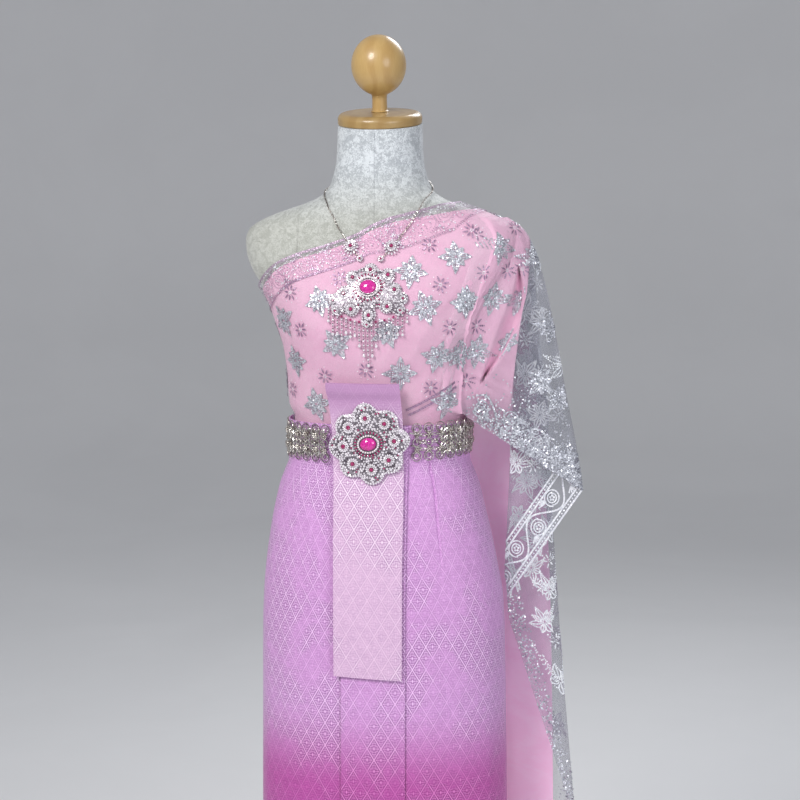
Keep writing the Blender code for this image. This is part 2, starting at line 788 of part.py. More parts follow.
def add_skirt():
    """The brocade tube: a back and two fronts that meet under the pleat."""
    right = np.linspace(-RIGHT + SEAM_ANGLE, FRONT - SEAM_ANGLE, 10)
    left = np.linspace(FRONT + SEAM_ANGLE, LEFT - SEAM_ANGLE, 10)
    near_dart = DART_BEARING + np.array([-0.09, -0.03, 0.0, 0.03, 0.09])
    left = np.sort(np.concatenate([left[np.abs(left - DART_BEARING) > 0.12], near_dart]))
    back = np.linspace(LEFT + SEAM_ANGLE, RIGHT - SEAM_ANGLE, 19)
    for name, bearings in (("right_front", right), ("left_front", left), ("back", back)):
        add_cloth(f"skirt_{name}", skirt_grid(bearings), SKIRT_WALL, "brocade")


def add_front_pleat():
    """The knife pleat down the front: an outer layer that turns under at its right edge."""
    under = np.linspace(PLEAT_UNDER_X, PLEAT_RIGHT_X - 0.001, 4)
    over = np.linspace(PLEAT_RIGHT_X - 0.001, PLEAT_LEFT_X, 6)
    turn_out = (PLEAT_OUT + PLEAT_UNDER_OUT) / 2
    across = np.concatenate([under, [PLEAT_RIGHT_X], over])
    out = np.concatenate([0 * under + PLEAT_UNDER_OUT, [turn_out], 0 * over + PLEAT_OUT])
    z = skirt_rows(PLEAT_TOP_Z)
    grid = on_skirt_front(across[None, :], z, out[None, :])
    pleat = add_cloth("front_pleat", grid, PLEAT_WALL, "brocade")
    pleat.modifiers["wall"].offset = 0


def add_sash_panel():
    """The folded panel that stands above the belt and hangs below it."""
    rows = []
    for row in SASH:
        across = np.linspace(row.left_x, row.right_x, SASH_COLUMNS)
        drop = SASH_HEM_DROP * np.linspace(0, 1, SASH_COLUMNS) if row is SASH[0] else 0
        rows.append(on_skirt_front(across, row.z - drop, row.out + 0 * across))
    add_cloth("sash_panel", np.stack(rows), SASH_WALL, "sash_brocade")


def belt_rise(x):
    """How much higher the belt sits towards the wearer's left side."""
    return BELT_RISE * np.clip(x / BELT_RISE_X, 0, 1)


def add_belt():
    """The chain band, open at the front, and the two hooks that join it to the buckle."""
    bearings = np.linspace(BELT_RIGHT_END, BELT_LEFT_END + 2 * math.pi, 44)
    near = np.clip((bearings - 2 * math.pi - BELT_LEFT_END) / math.radians(15) + 1, 0, 1)
    out = BELT_OUT + near * near * (3 - 2 * near) * (BELT_OUT_AT_BUCKLE - BELT_OUT)
    spread = np.broadcast_to(bearings, (3, len(bearings)))
    grid = moved_out(skirt, 0 * spread + WAIST_Z, spread, out + 0 * spread)
    grid[..., 2] = WAIST_Z + BELT_HALF_HEIGHT * np.linspace(-1, 1, 3)[:, None]
    grid[..., 2] += belt_rise(grid[..., 0])
    add_cloth("belt_band", grid, BELT_WALL, "belt_silver")
    band_end = moved_out(skirt, WAIST_Z, BELT_RIGHT_END, BELT_OUT + BELT_WALL / 2)
    band_end[2] += belt_rise(band_end[0])
    for name, side in (("upper", 1), ("lower", -1)):
        belt_side = band_end + np.array([0, 0, side * HOOK_SPREAD])
        edge = buckle_edge(math.radians(side * 9))
        along = (belt_side - edge) / np.linalg.norm(belt_side - edge)
        ends = edge + along * (HOOK_GAP + HOOK_RADIUS), belt_side - along * BELT_WALL / 4
        add_rod(f"belt_hook_{name}", ends, HOOK_RADIUS, "belt_silver")


def add_rod(name, points, radius, finish_name):
    """A round strand through points."""
    curve = bpy.data.curves.new(name, "CURVE")
    curve.dimensions = "3D"
    curve.bevel_depth = radius
    curve.bevel_resolution = 1
    curve.use_fill_caps = True
    spline = curve.splines.new("POLY")
    spline.points.add(len(points) - 1)
    for place, point in zip(spline.points, points):
        place.co = (*point, 1)
    curve.materials.append(material(finish_name))
    made = bpy.data.objects.new(name, curve)
    bpy.context.scene.collection.objects.link(made)


def buckle_surface(u, v, out):
    """Points on the bent face that the buckle is built on: u across, v up."""
    turned_x = u * math.cos(BUCKLE_TILT) - v * math.sin(BUCKLE_TILT)
    turned_z = u * math.sin(BUCKLE_TILT) + v * math.cos(BUCKLE_TILT)
    y = BUCKLE_Y - out + turned_x**2 / (2 * BUCKLE_BEND)
    return np.stack(np.broadcast_arrays(turned_x, y, BUCKLE_Z + turned_z), axis=-1)


def pendant_surface(u, v, out):
    """Points on the chest that the pendant is built on: u across, v up."""
    return on_chest(u, PENDANT_Z + v, PENDANT_OUT + out)


def buckle_reach(angles):
    """The buckle's star outline: four points with four lobes between, nearly as long."""
    points = np.abs(np.cos(2 * angles)) ** 6
    lobes = np.abs(np.sin(2 * angles)) ** 6
    return 0.0500 + 0.0070 * points + 0.0050 * lobes


def buckle_edge(angle):
    """A point on the buckle's rim, half way through it."""
    reach = float(buckle_reach(np.array(angle)))
    return buckle_surface(reach * math.cos(angle), reach * math.sin(angle), 0.0008)


def pendant_reach(angles):
    """The pendant's outline, the same on both sides."""
    mirrored = np.degrees(np.arcsin(np.clip(np.sin(angles), -1, 1)))
    return smooth_through([r.angle for r in PENDANT_RIM], [r.radius for r in PENDANT_RIM], mirrored)


def stone_reach(angles):
    """The big stone's oval outline."""
    across, up = np.cos(angles) / STONE_HALF_WIDTH, np.sin(angles) / STONE_HALF_HEIGHT
    return 1 / np.hypot(across, up)


def setting_reach(angles):
    """The outline of the setting round the stone."""
    return stone_reach(angles) * SETTING_SIZE


def motif_reach(angles):
    """A small three-lobed motif."""
    return MOTIF_RADIUS + 0.0012 * np.cos(3 * angles)


def add_relief(name, surface, reach, sides, back, face, finish_name, centre=(0.0, 0.0), base=0.0):
    """A thin plate on a surface, from its middle out to its rim at the back and in again in front."""
    angles = np.linspace(0, 2 * math.pi, sides, endpoint=False)
    layers = []
    for step in back + face:
        u = centre[0] + reach(angles) * step.share * np.cos(angles)
        v = centre[1] + reach(angles) * step.share * np.sin(angles)
        layers.append(surface(u, v, base + step.out + 0 * u))
    add_stack(name, layers, finish_name)


def add_stone(prefix, surface, face_out):
    """The setting on a plate's middle and the ruby in it."""
    base = face_out + STONE_GAP
    name = f"{prefix}_setting"
    add_relief(name, surface, setting_reach, 18, SETTING_BACK, SETTING_FACE, "rhinestone", base=base)
    base += SETTING_FACE[-1].out + STONE_GAP
    name = f"{prefix}_stone"
    add_relief(name, surface, stone_reach, 18, STONE_BACK, STONE_FACE, "ruby", base=base)


def add_buckle():
    """The star-shaped buckle over the sash panel."""
    args = (buckle_surface, buckle_reach, 40, BUCKLE_BACK, BUCKLE_FACE, "rhinestone")
    add_relief("buckle_plate", *args)
    add_stone("buckle", buckle_surface, BUCKLE_FACE[-1].out)


def add_necklace():
    """The chain round the neck, the two motifs on it, and the pendant."""
    args = (pendant_surface, pendant_reach, 40, PENDANT_BACK, PENDANT_FACE, "rhinestone")
    add_relief("pendant_plate", *args)
    add_stone("pendant", pendant_surface, PENDANT_FACE[-1].out)
    for name, side in (("left", 1), ("right", -1)):
        bearing = FRONT + side * math.radians(MOTIF_PLACE.bearing)
        centre = (float(figure(MOTIF_PLACE.z, bearing)[0]), MOTIF_PLACE.z - PENDANT_Z)
        args = (pendant_surface, motif_reach, 12, MOTIF_BACK, MOTIF_FACE, "rhinestone", centre)
        add_relief(f"necklace_motif_{name}", *args, base=MOTIF_OUT - PENDANT_OUT)
    add_rod("necklace_chain", chain_points(), CHAIN_RADIUS, "belt_silver")


def chain_points():
    """The chain's route: up one side of the neck, round its back and down the other."""
    half = [(link.z, link.bearing) for link in CHAIN_HALF]
    other = [(z, 180 - degrees) for z, degrees in half[:0:-1]]
    z, degrees = np.array(other + half).T
    places = np.arange(len(z), dtype=float)
    at = np.linspace(0, places[-1], CHAIN_POINTS)
    z = smooth_through(places, z, at)
    bearing = np.radians(smooth_through(places, degrees, at))
    wrapped = np.arctan2(np.sin(bearing), np.cos(bearing))
    on_cloth = np.clip((neckline(wrapped) + 0.016 - z) / 0.010, 0, 1)
    out = CHAIN_GAP + CHAIN_RADIUS + BODICE_OUTSIDE * on_cloth * on_cloth * (3 - 2 * on_cloth)
    return moved_out(figure, z, bearing, out)


def main():
    for old in list(bpy.data.objects):
        bpy.data.objects.remove(old)
    add_form()
    add_neck_wood()
    add_stand()
    add_bodice()
    add_drape()
    add_tail_lining()
    add_skirt()
    add_front_pleat()
    add_sash_panel()
    add_belt()
    add_buckle()
    add_necklace()


main()
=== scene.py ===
# %% [markdown]
# # A Thai formal dress on its dress form
# The outfit is a brocade tube skirt with a front pleat, a pink wrap under embroidered net, a folded
# sash, a chain belt and a necklace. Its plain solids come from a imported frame, and this lesson builds
# the cloth, beads and metal that the eye sees, in the same metres and at the same places.

# %% Load the frame
import math
from typing import NamedTuple

import bpy
import numpy as np
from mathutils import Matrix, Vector
from mathutils.kdtree import KDTree


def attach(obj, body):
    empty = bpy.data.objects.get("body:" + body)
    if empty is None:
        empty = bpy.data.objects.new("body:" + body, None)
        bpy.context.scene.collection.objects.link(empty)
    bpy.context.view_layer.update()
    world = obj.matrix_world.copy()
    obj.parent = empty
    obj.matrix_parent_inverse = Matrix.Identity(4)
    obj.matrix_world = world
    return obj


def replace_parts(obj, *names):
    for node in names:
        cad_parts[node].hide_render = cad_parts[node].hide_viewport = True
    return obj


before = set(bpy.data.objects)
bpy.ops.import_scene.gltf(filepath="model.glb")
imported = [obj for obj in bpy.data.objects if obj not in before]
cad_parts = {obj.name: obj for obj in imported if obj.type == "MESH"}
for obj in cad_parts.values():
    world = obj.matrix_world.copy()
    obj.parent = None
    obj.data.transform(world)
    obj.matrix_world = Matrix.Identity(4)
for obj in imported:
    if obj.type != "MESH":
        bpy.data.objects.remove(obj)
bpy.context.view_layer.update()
print("frame nodes:", len(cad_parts))

# %% [markdown]
# ## The camera
# A long lens, set well back, keeps the dress from looking wide at the middle. The camera stands a
# little to the wearer's left and a little above the belt, as in the photograph.

# %% Place the camera
LOOK_AT = Vector((0.0277, 0.0, 1.066))
CAMERA_DISTANCE = 2.8
CAMERA_AZIMUTH = math.radians(8)
CAMERA_ELEVATION = math.radians(6.5)
LENS_MM = 90


def link_new(name, data):
    """An object that holds this data, linked into the scene."""
    made = bpy.data.objects.new(name, data)
    bpy.context.scene.collection.objects.link(made)
    return made


def direction(azimuth, elevation):
    """The way from the dress to something that stands at these angles; azimuth 0 is the front."""
    level = math.cos(elevation)
    return Vector((math.sin(azimuth) * level, -math.cos(azimuth) * level, math.sin(elevation)))


def aim(thing, at, towards):
    """Puts a camera or light at a place, facing along a direction."""
    thing.location = at
    thing.rotation_mode = "QUATERNION"
    thing.rotation_quaternion = towards.to_track_quat("-Z", "Y")


camera = link_new("camera", bpy.data.cameras.new("camera"))
camera.data.lens, camera.data.sensor_width = LENS_MM, 36
camera_way = direction(CAMERA_AZIMUTH, CAMERA_ELEVATION)
aim(camera, LOOK_AT + camera_way * CAMERA_DISTANCE, -camera_way)
bpy.context.scene.camera = camera
print("camera at", tuple(round(v, 3) for v in camera.location))

# %% [markdown]
# ## Soft studio light
# Sequins and cut stones only sparkle when there is something bright and something dark for them to
# mirror. So the sky is a quiet pale grey, and three large panels give the bright parts: a key from the
# front left, a low fill from the right, and a rim from behind.

# %% Light the studio
SKY = (0.74, 0.76, 0.80, 1)
SKY_STRENGTH = 0.50


class Panel(NamedTuple):
    """A soft light: its angles round the dress in degrees, how far off, its size and its power."""

    azimuth: float
    elevation: float
    distance: float
    size: float
    watts: float
    color: tuple


PANELS = {
    "key": Panel(-26, 34, 2.9, 1.1, 57, (1.0, 0.985, 0.965)),
    "fill": Panel(40, 12, 3.2, 1.6, 28, (0.96, 0.97, 1.0)),
    "rim": Panel(160, 40, 3.0, 1.3, 34, (0.95, 0.97, 1.0)),
}

world = bpy.data.worlds.new("studio")
bpy.context.scene.world = world
world.use_nodes = True
world.node_tree.nodes["Background"].inputs["Color"].default_value = SKY
world.node_tree.nodes["Background"].inputs["Strength"].default_value = SKY_STRENGTH
for name, panel in PANELS.items():
    light = link_new(name, bpy.data.lights.new(name, "AREA"))
    light.data.shape, light.data.size = "DISK", panel.size
    light.data.energy, light.data.color = panel.watts, panel.color
    way = direction(math.radians(panel.azimuth), math.radians(panel.elevation))
    aim(light, Vector((0.05, 0, 1.05)) + way * panel.distance, -way)
bpy.context.scene.view_settings.view_transform = "Standard"
print("panels:", ", ".join(PANELS))

# %% [markdown]
# ## Meshes from arrays
# Cloth here is a grid of points, and beads are one small shape placed many times. Both are quickest
# as numpy arrays handed to Blender at once. A piece can be made of several shapes, and it may carry
# its own cloth coordinates: how far along and up the cloth each point lies, in metres. A weave drawn
# in those coordinates stays the same size over every fold.

# %% Make meshes from arrays


class Shape(NamedTuple):
    """Points, and faces that all have the same number of corners."""

    points: np.ndarray
    faces: np.ndarray


def add_piece(name, shapes, material, smooth_angle=40, cloth=None, shade=None):
    """A piece of the dress from shapes. It rides on the one body."""
    mesh = bpy.data.meshes.new(name)
    points = np.concatenate([shape.points for shape in shapes])
    firsts = np.cumsum([0] + [len(shape.points) for shape in shapes[:-1]])
    corners = np.concatenate([(s.faces + first).ravel() for s, first in zip(shapes, firsts)])
    sizes = np.concatenate([np.full(len(s.faces), s.faces.shape[1]) for s in shapes])
    mesh.vertices.add(len(points))
    mesh.vertices.foreach_set("co", points.astype(np.float32).ravel())
    mesh.loops.add(len(corners))
    mesh.loops.foreach_set("vertex_index", corners.astype(np.int32))
    mesh.polygons.add(len(sizes))
    mesh.polygons.foreach_set("loop_start", np.cumsum(np.append(0, sizes[:-1])).astype(np.int32))
    mesh.update(calc_edges=True)
    if cloth is not None:
        layer = mesh.attributes.new("cloth", "FLOAT_VECTOR", "POINT")
        layer.data.foreach_set("vector", cloth.astype(np.float32).ravel())
    if shade is not None:
        layer = mesh.attributes.new("shade", "FLOAT", "POINT")
        layer.data.foreach_set("value", shade.astype(np.float32).ravel())
    if smooth_angle:
        mesh.shade_smooth()
        mesh.set_sharp_from_angle(angle=math.radians(smooth_angle))
    mesh.materials.append(material)
    made = link_new(name, mesh)
    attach(made, "root")
    print(f"{name}: {int((sizes - 2).sum())} triangles")
    return made


def grid_shape(points, around=False):
    """Quads over a grid of points; around joins its last column to its first."""
    rows, columns = points.shape[:2]
    row, column = np.meshgrid(
        np.arange(rows - 1), np.arange(columns if around else columns - 1), indexing="ij"
    )
    right = (column + 1) % columns
    corners = [
        row * columns + column,
        row * columns + right,
        (row + 1) * columns + right,
        (row + 1) * columns + column,
    ]
    return Shape(points.reshape(-1, 3), np.stack(corners, axis=-1).reshape(-1, 4))


def turned_shapes(profile, sides):
    """A turned solid: (radius, height) pairs from its foot to its top, with its ends filled."""
    turns = np.linspace(0, 2 * math.pi, sides, endpoint=False)
    circle = np.stack([np.cos(turns), np.sin(turns)], axis=-1)
    rings = np.stack([np.c_[circle * radius, np.full(sides, z)] for radius, z in profile])
    order = np.arange(sides)[None]
    foot, top = Shape(rings[0], order[:, ::-1]), Shape(rings[-1], order)
    return [grid_shape(rings, around=True), foot, top]


def copies(shapes, origins, axes):
    """Shapes placed at many frames: the rows of axes[i] are the i-th one's x, y and z directions."""
    placed = []
    for shape in shapes:
        points = np.einsum("pk,nkj->npj", shape.points, axes) + origins[:, None]
        shift = np.arange(len(origins))[:, None, None] * len(shape.points)
        faces = (shape.faces[None] + shift).reshape(-1, shape.faces.shape[1])
        placed.append(Shape(points.reshape(-1, 3), faces))
    return placed


def unit(vectors):
    """Vectors made one metre long."""
    return vectors / np.maximum(np.linalg.norm(vectors, axis=-1, keepdims=True), 1e-12)


sample = turned_shapes([(0.01, 0), (0.012, 0.01)], 12)
print("a turned test shape has", sum(len(s.faces) for s in sample), "faces")

# %% [markdown]
# ## A short way to write shader nodes
# A material's node tree is easier to read as a few lines of sums. `Tree` places a node and joins it
# in one call: a value that is a socket is linked, and any other value is set on the node.

# %% Write node trees in short calls


class Tree:
    """Places and joins the nodes of one material or group."""

    def __init__(self, tree):
        self.tree = tree

    def node(self, kind, inputs=None, **settings):
        made = self.tree.nodes.new("ShaderNode" + kind)
        for key, value in settings.items():
            setattr(made, key, value)
        for key, value in (inputs or {}).items():
            if isinstance(value, bpy.types.NodeSocket):
                self.tree.links.new(value, made.inputs[key])
            else:
                made.inputs[key].default_value = value
        return made

    def sum(self, operation, *values):
        """A Math node's result."""
        return self.node("Math", dict(enumerate(values)), operation=operation).outputs[0]

    def noise(self, vector, scale, detail=3.0, distortion=0.0):
        inputs = {"Vector": vector, "Scale": scale, "Detail": detail, "Distortion": distortion}
        return self.node("TexNoise", inputs).outputs["Fac"]

    def scaled(self, vector, factors):
        """A vector stretched along its axes."""
        return self.node("VectorMath", {0: vector, 1: factors}, operation="MULTIPLY").outputs[0]

    def ranged(self, value, low, high, to_low=0.0, to_high=1.0):
        """A value moved from one range to another, and kept inside it."""
        inputs = {0: value, 1: low, 2: high, 3: to_low, 4: to_high}
        return self.node("MapRange", inputs, interpolation_type="SMOOTHSTEP").outputs[0]

    def mix(self, share, first, second, blend="MIX"):
        """Two colours mixed by a share."""
        made = self.node("Mix", {0: share}, data_type="RGBA", blend_type=blend)
        for socket, color in ((made.inputs[6], first), (made.inputs[7], second)):
            if isinstance(color, bpy.types.NodeSocket):
                self.tree.links.new(color, socket)
            else:
                socket.default_value = (*color, 1)
        return made.outputs[2]

    def bump(self, height, distance):
        return self.node("Bump", {"Height": height, "Distance": distance}).outputs[0]

    def group(self, name, inputs):
        made = self.node("Group", node_tree=bpy.data.node_groups[name])
        for key, value in inputs.items():
            if isinstance(value, bpy.types.NodeSocket):
                self.tree.links.new(value, made.inputs[key])
            else:
                made.inputs[key].default_value = value
        return made.outputs


def new_group(name, inputs, outputs):
    """A node group with named sockets: its tree, and what it takes in and gives out."""
    group = bpy.data.node_groups.new(name, "ShaderNodeTree")
    for label, value in inputs.items():
        kind = "NodeSocketVector" if value is None else "NodeSocketFloat"
        socket = group.interface.new_socket(label, in_out="INPUT", socket_type=kind)
        if value is not None:
            socket.default_value = value
    for label in outputs:
        group.interface.new_socket(label, in_out="OUTPUT", socket_type="NodeSocketFloat")
    tree = Tree(group)
    return tree, tree.tree.nodes.new("NodeGroupInput").outputs, tree.tree.nodes.new("NodeGroupOutput")


def new_material(name, **values):
    """A material, with the values that are the same all over set on its own shader."""
    made = bpy.data.materials.new(name)
    made.use_nodes = True
    shader = made.node_tree.nodes["Principled BSDF"]
    for key, value in values.items():
        socket = shader.inputs[key.replace("_", " ")]
        socket.default_value = (*value, 1) if isinstance(value, tuple) else value
    return made, Tree(made.node_tree), shader.inputs


def feed(tree, socket, value):
    """Joins a result to one of the shader's sockets."""
    tree.tree.links.new(value, socket)


print("node helpers ready")

# %% [markdown]
# ## Thread, slub and tarnish
# Three effects come back in many finishes, so each is a group with named sockets. *Threads* is a
# plain weave in cloth coordinates: rows of threads one way and the other, with thick and thin places.
# *Mottle* is the soft cloudiness of used cloth or rubbed metal. *Brocade figure* is the skirt's
# woven pattern, a lattice of slim diamonds with a small filigree in each.

# %% Group: threads
tree, taken, given = new_group(
    "threads", {"Cloth": None, "Thread": 0.0006, "Slub": 0.5}, ["Height", "Slub"]
)
parts = tree.node("SeparateXYZ", {0: taken["Cloth"]}).outputs
half_turns = tree.sum("DIVIDE", math.pi, taken["Thread"])
warp = tree.sum("ABSOLUTE", tree.sum("SINE", tree.sum("MULTIPLY", parts[0], half_turns)))
weft = tree.sum("ABSOLUTE", tree.sum("SINE", tree.sum("MULTIPLY", parts[1], half_turns)))
slubs = tree.noise(tree.scaled(taken["Cloth"], (90, 900, 90)), 1.0, 2.0)
uneven = tree.noise(tree.scaled(taken["Cloth"], (900, 90, 90)), 1.0, 2.0)
both = tree.sum("MULTIPLY", tree.sum("ADD", slubs, uneven), taken["Slub"])
woven = tree.sum("ADD", tree.sum("MULTIPLY", warp, weft), both)
tree.tree.links.new(woven, given.inputs["Height"])
tree.tree.links.new(slubs, given.inputs["Slub"])
print("threads group ready")

# %% Group: mottle
tree, taken, given = new_group("mottle", {"Vector": None, "Size": 0.02, "Crush": 0.5}, ["Mask", "Fine"])
per_metre = tree.sum("DIVIDE", 1.0, taken["Size"])
broad = tree.noise(taken["Vector"], per_metre, 5.0, 1.2)
fine = tree.noise(taken["Vector"], tree.sum("MULTIPLY", per_metre, 4.5), 4.0, 1.8)
weighted = tree.sum("MULTIPLY", tree.sum("SUBTRACT", fine, 0.5), taken["Crush"])
mask = tree.ranged(tree.sum("ADD", broad, weighted), 0.36, 0.64)
tree.tree.links.new(mask, given.inputs["Mask"])
tree.tree.links.new(fine, given.inputs["Fine"])
print("mottle group ready")

# %% Group: brocade figure
DIAMOND_WIDTH, DIAMOND_HEIGHT = 0.0190, 0.0315
LIGHT_LINES = ((0.50, 0.046, 0.85), (0.330, 0.020, 0.45))
DARK_LINES = ((0.415, 0.040, 0.75), (0.230, 0.040, 0.5))


def away_from_line(tree, value, at):
    """How far a value is from a line, on either side."""
    return tree.sum("ABSOLUTE", tree.sum("SUBTRACT", value, at))


def drawn_lines(tree, value, lines):
    """The strongest of several soft lines, each given by its place, half width and strength."""
    made = None
    for at, half_width, strength in lines:
        away = away_from_line(tree, value, at)
        line = tree.ranged(away, half_width * 0.5, half_width * 1.3, strength, 0.0)
        made = line if made is None else tree.sum("MAXIMUM", made, line)
    return made


tree, taken, given = new_group("brocade_figure", {"Cloth": None, "Filigree": 0.8}, ["Light", "Dark"])
parts = tree.node("SeparateXYZ", {0: taken["Cloth"]}).outputs
across = tree.sum("DIVIDE", parts[0], DIAMOND_WIDTH)
upward = tree.sum("DIVIDE", parts[1], DIAMOND_HEIGHT)
rising = away_from_line(tree, tree.sum("FRACT", tree.sum("ADD", across, upward)), 0.5)
falling = away_from_line(tree, tree.sum("FRACT", tree.sum("SUBTRACT", across, upward)), 0.5)
inner = tree.sum("MAXIMUM", rising, falling)
light = drawn_lines(tree, inner, LIGHT_LINES)
dark = drawn_lines(tree, inner, DARK_LINES)
knots = tree.sum(
    "MULTIPLY",
    tree.sum("SINE", tree.sum("MULTIPLY", rising, 2 * math.pi * 5.0)),
    tree.sum("SINE", tree.sum("MULTIPLY", falling, 2 * math.pi * 5.0)),
)
between = tree.ranged(inner, 0.40, 0.44, 1.0, 0.0)
inside = tree.sum("MULTIPLY", between, taken["Filigree"])
dots = tree.sum("MULTIPLY", inside, tree.ranged(knots, 0.1, 0.5))
gaps = tree.sum("MULTIPLY", inside, tree.ranged(knots, -0.1, -0.5))
heart = tree.ranged(inner, 0.04, 0.09, 0.9, 0.0)
light = tree.sum("MAXIMUM", tree.sum("MAXIMUM", light, heart), tree.sum("MULTIPLY", dots, 0.85))
dark = tree.sum("MAXIMUM", dark, tree.sum("MAXIMUM", gaps, tree.sum("MULTIPLY", between, 0.22)))
tree.tree.links.new(light, given.inputs["Light"])
tree.tree.links.new(dark, given.inputs["Dark"])
print("brocade figure group ready")

# %% [markdown]
# ## A plain pale studio floor
# A floor that turns up into a wall all round leaves no hard horizon in any view. It is one turned
# surface, wide enough for every camera to stand inside it, and it isn't part of the object.

# %% Lay the floor
FLOOR_PROFILE = ((0.02, 0.0), (2.0, 0.0), (5.0, 0.0), (6.2, 0.12), (7.0, 0.6), (7.3, 1.5), (7.4, 4.5))


def add_floor():
    made, tree, shader = new_material("studio_paper", Base_Color=(0.80, 0.80, 0.81), Roughness=0.9)
    place = tree.node("NewGeometry").outputs["Position"]
    cloud = tree.group("mottle", {"Vector": place, "Size": 1.4, "Crush": 0.2})["Mask"]
    feed(tree, shader["Base Color"], tree.mix(cloud, (0.80, 0.80, 0.81), (0.82, 0.82, 0.83)))
    mesh = bpy.data.meshes.new("studio_floor")
    shapes = turned_shapes(FLOOR_PROFILE, 96)
    mesh.from_pydata(shapes[0].points.tolist(), [], shapes[0].faces[:, ::-1].tolist())
    mesh.materials.append(made)
    mesh.shade_smooth()
    floor = link_new("studio_floor", mesh)
    return floor


add_floor()
print("floor laid, radius", FLOOR_PROFILE[-1][0], "m")

# %% [markdown]
# ## The body under the cloth
# All the layers follow one body, so the body is a function and not a mesh. It gives the point at any
# height and bearing from a short table of level ovals. Every layer is the same function moved out
# along its own normal: wrap, net, skirt and belt then never cut into each other. The tables are those
# of the part's own source, so the fine surfaces here lie where its solids are.

# %% Heights and walls
HEM_Z, WAIST_Z = 0.060, 1.015
SKIRT_TOP_Z, BODICE_FOOT_Z, NECK_TOP_Z = 1.046, 1.004, 1.449
SKIRT_EDGE_Z = 1.0415
SATIN_OUT, NET_OUT, BODICE_OUTSIDE, SKIRT_WALL = 0.0033, 0.0044, 0.0049, 0.0020
LEFT, FRONT, RIGHT, BACK = 0.0, -math.pi / 2, math.pi, math.pi / 2
SQUARENESS = 2.3
BUST_RISE, BUST_X, BUST_Z, BUST_SPREAD_X, BUST_SPREAD_Z = 0.005, 0.066, 1.172, 0.042, 0.048
CAP_TILT, TILT_FROM_Z = math.radians(9), 1.365


class Ring(NamedTuple):
    """One level section: how far it reaches to each side, forward and back of its middle."""

    z: float
    half_width: float
    front: float
    back: float
    middle_x: float = 0.0


FIGURE = [
    Ring(0.760, 0.138, 0.088, 0.100),
    Ring(0.767, 0.147, 0.095, 0.109),
    Ring(0.800, 0.152, 0.100, 0.115),
    Ring(0.870, 0.149, 0.100, 0.113),
    Ring(0.930, 0.136, 0.095, 0.103),
    Ring(0.980, 0.1180, 0.0860, 0.085),
    Ring(1.015, 0.1165, 0.0850, 0.083),
    Ring(1.044, 0.1164, 0.0852, 0.083),
    Ring(1.064, 0.1242, 0.0872, 0.086),
    Ring(1.106, 0.1268, 0.0940, 0.089),
    Ring(1.141, 0.1315, 0.1030, 0.093),
    Ring(1.176, 0.1425, 0.1080, 0.098),
    Ring(1.205, 0.1535, 0.1060, 0.101),
    Ring(1.232, 0.1690, 0.0985, 0.102),
    Ring(1.252, 0.1810, 0.0900, 0.101),
    Ring(1.274, 0.1880, 0.0795, 0.098),
    Ring(1.290, 0.1890, 0.0715, 0.094),
    Ring(1.303, 0.1850, 0.0660, 0.090),
    Ring(1.313, 0.1735, 0.0630, 0.086),
    Ring(1.325, 0.1480, 0.0605, 0.082),
    Ring(1.333, 0.1250, 0.0600, 0.080),
    Ring(1.340, 0.1040, 0.0597, 0.078),
    Ring(1.347, 0.0880, 0.0590, 0.075),
    Ring(1.356, 0.0750, 0.0578, 0.070),
    Ring(1.370, 0.0672, 0.0560, 0.065),
    Ring(1.400, 0.0600, 0.0545, 0.058),
    Ring(NECK_TOP_Z, 0.0578, 0.0560, 0.056),
]
SKIRT = [
    Ring(HEM_Z, 0.1715, 0.1120, 0.1260, 0.0050),
    Ring(0.250, 0.1725, 0.1130, 0.1275, 0.0052),
    Ring(0.480, 0.1728, 0.1140, 0.1290, 0.0053),
    Ring(0.629, 0.1712, 0.1140, 0.1310, 0.0048),
    Ring(0.746, 0.1695, 0.1130, 0.1310, 0.0040),
    Ring(0.790, 0.1675, 0.1120, 0.1295, 0.0036),
    Ring(0.833, 0.1620, 0.1100, 0.1270, 0.0016),
    Ring(0.877, 0.1546, 0.1070, 0.1220, 0.0002),
    Ring(0.920, 0.1455, 0.1020, 0.1140, -0.0010),
    Ring(0.949, 0.1385, 0.0975, 0.1060, -0.0010),
    Ring(0.968, 0.1315, 0.0945, 0.0985, -0.0010),
    Ring(0.985, 0.1252, 0.0925, 0.0922, -0.0010),
    Ring(WAIST_Z, 0.1245, 0.0920, 0.0915, -0.0010),
    Ring(SKIRT_TOP_Z, 0.1252, 0.0922, 0.0922, -0.0009),
    Ring(1.075, 0.1320, 0.0940, 0.0960, 0.0),
    Ring(1.100, 0.1335, 0.0990, 0.0980, 0.0),
]
print("body rings:", len(FIGURE), "skirt rings:", len(SKIRT))

# %% Surfaces from the rings


def smooth_through(places, values, at):
    """Values at new places on a curve through the given ones that never overshoots them."""
    places, values = np.asarray(places, float), np.asarray(values, float)
    at = np.clip(at, places[0], places[-1])
    widths = np.diff(places)
    slopes = np.diff(values) / widths
    tangents = np.zeros(len(places))
    tangents[0], tangents[-1] = slopes[0], slopes[-1]
    same_way = slopes[:-1] * slopes[1:] > 0
    before, after = slopes[:-1][same_way], slopes[1:][same_way]
    tangents[1:-1][same_way] = 2 * before * after / (before + after)
    left = np.clip(np.searchsorted(places, at, side="right") - 1, 0, len(widths) - 1)
    width = widths[left]
    t = (at - places[left]) / width
    return (
        values[left] * (1 + 2 * t) * (1 - t) ** 2
        + tangents[left] * width * t * (1 - t) ** 2
        + values[left + 1] * t * t * (3 - 2 * t)
        + tangents[left + 1] * width * t * t * (t - 1)
    )


def section(rings, z, column):
    """One column of a table of rings at heights z."""
    return smooth_through([ring.z for ring in rings], [getattr(r, column) for r in rings], z)


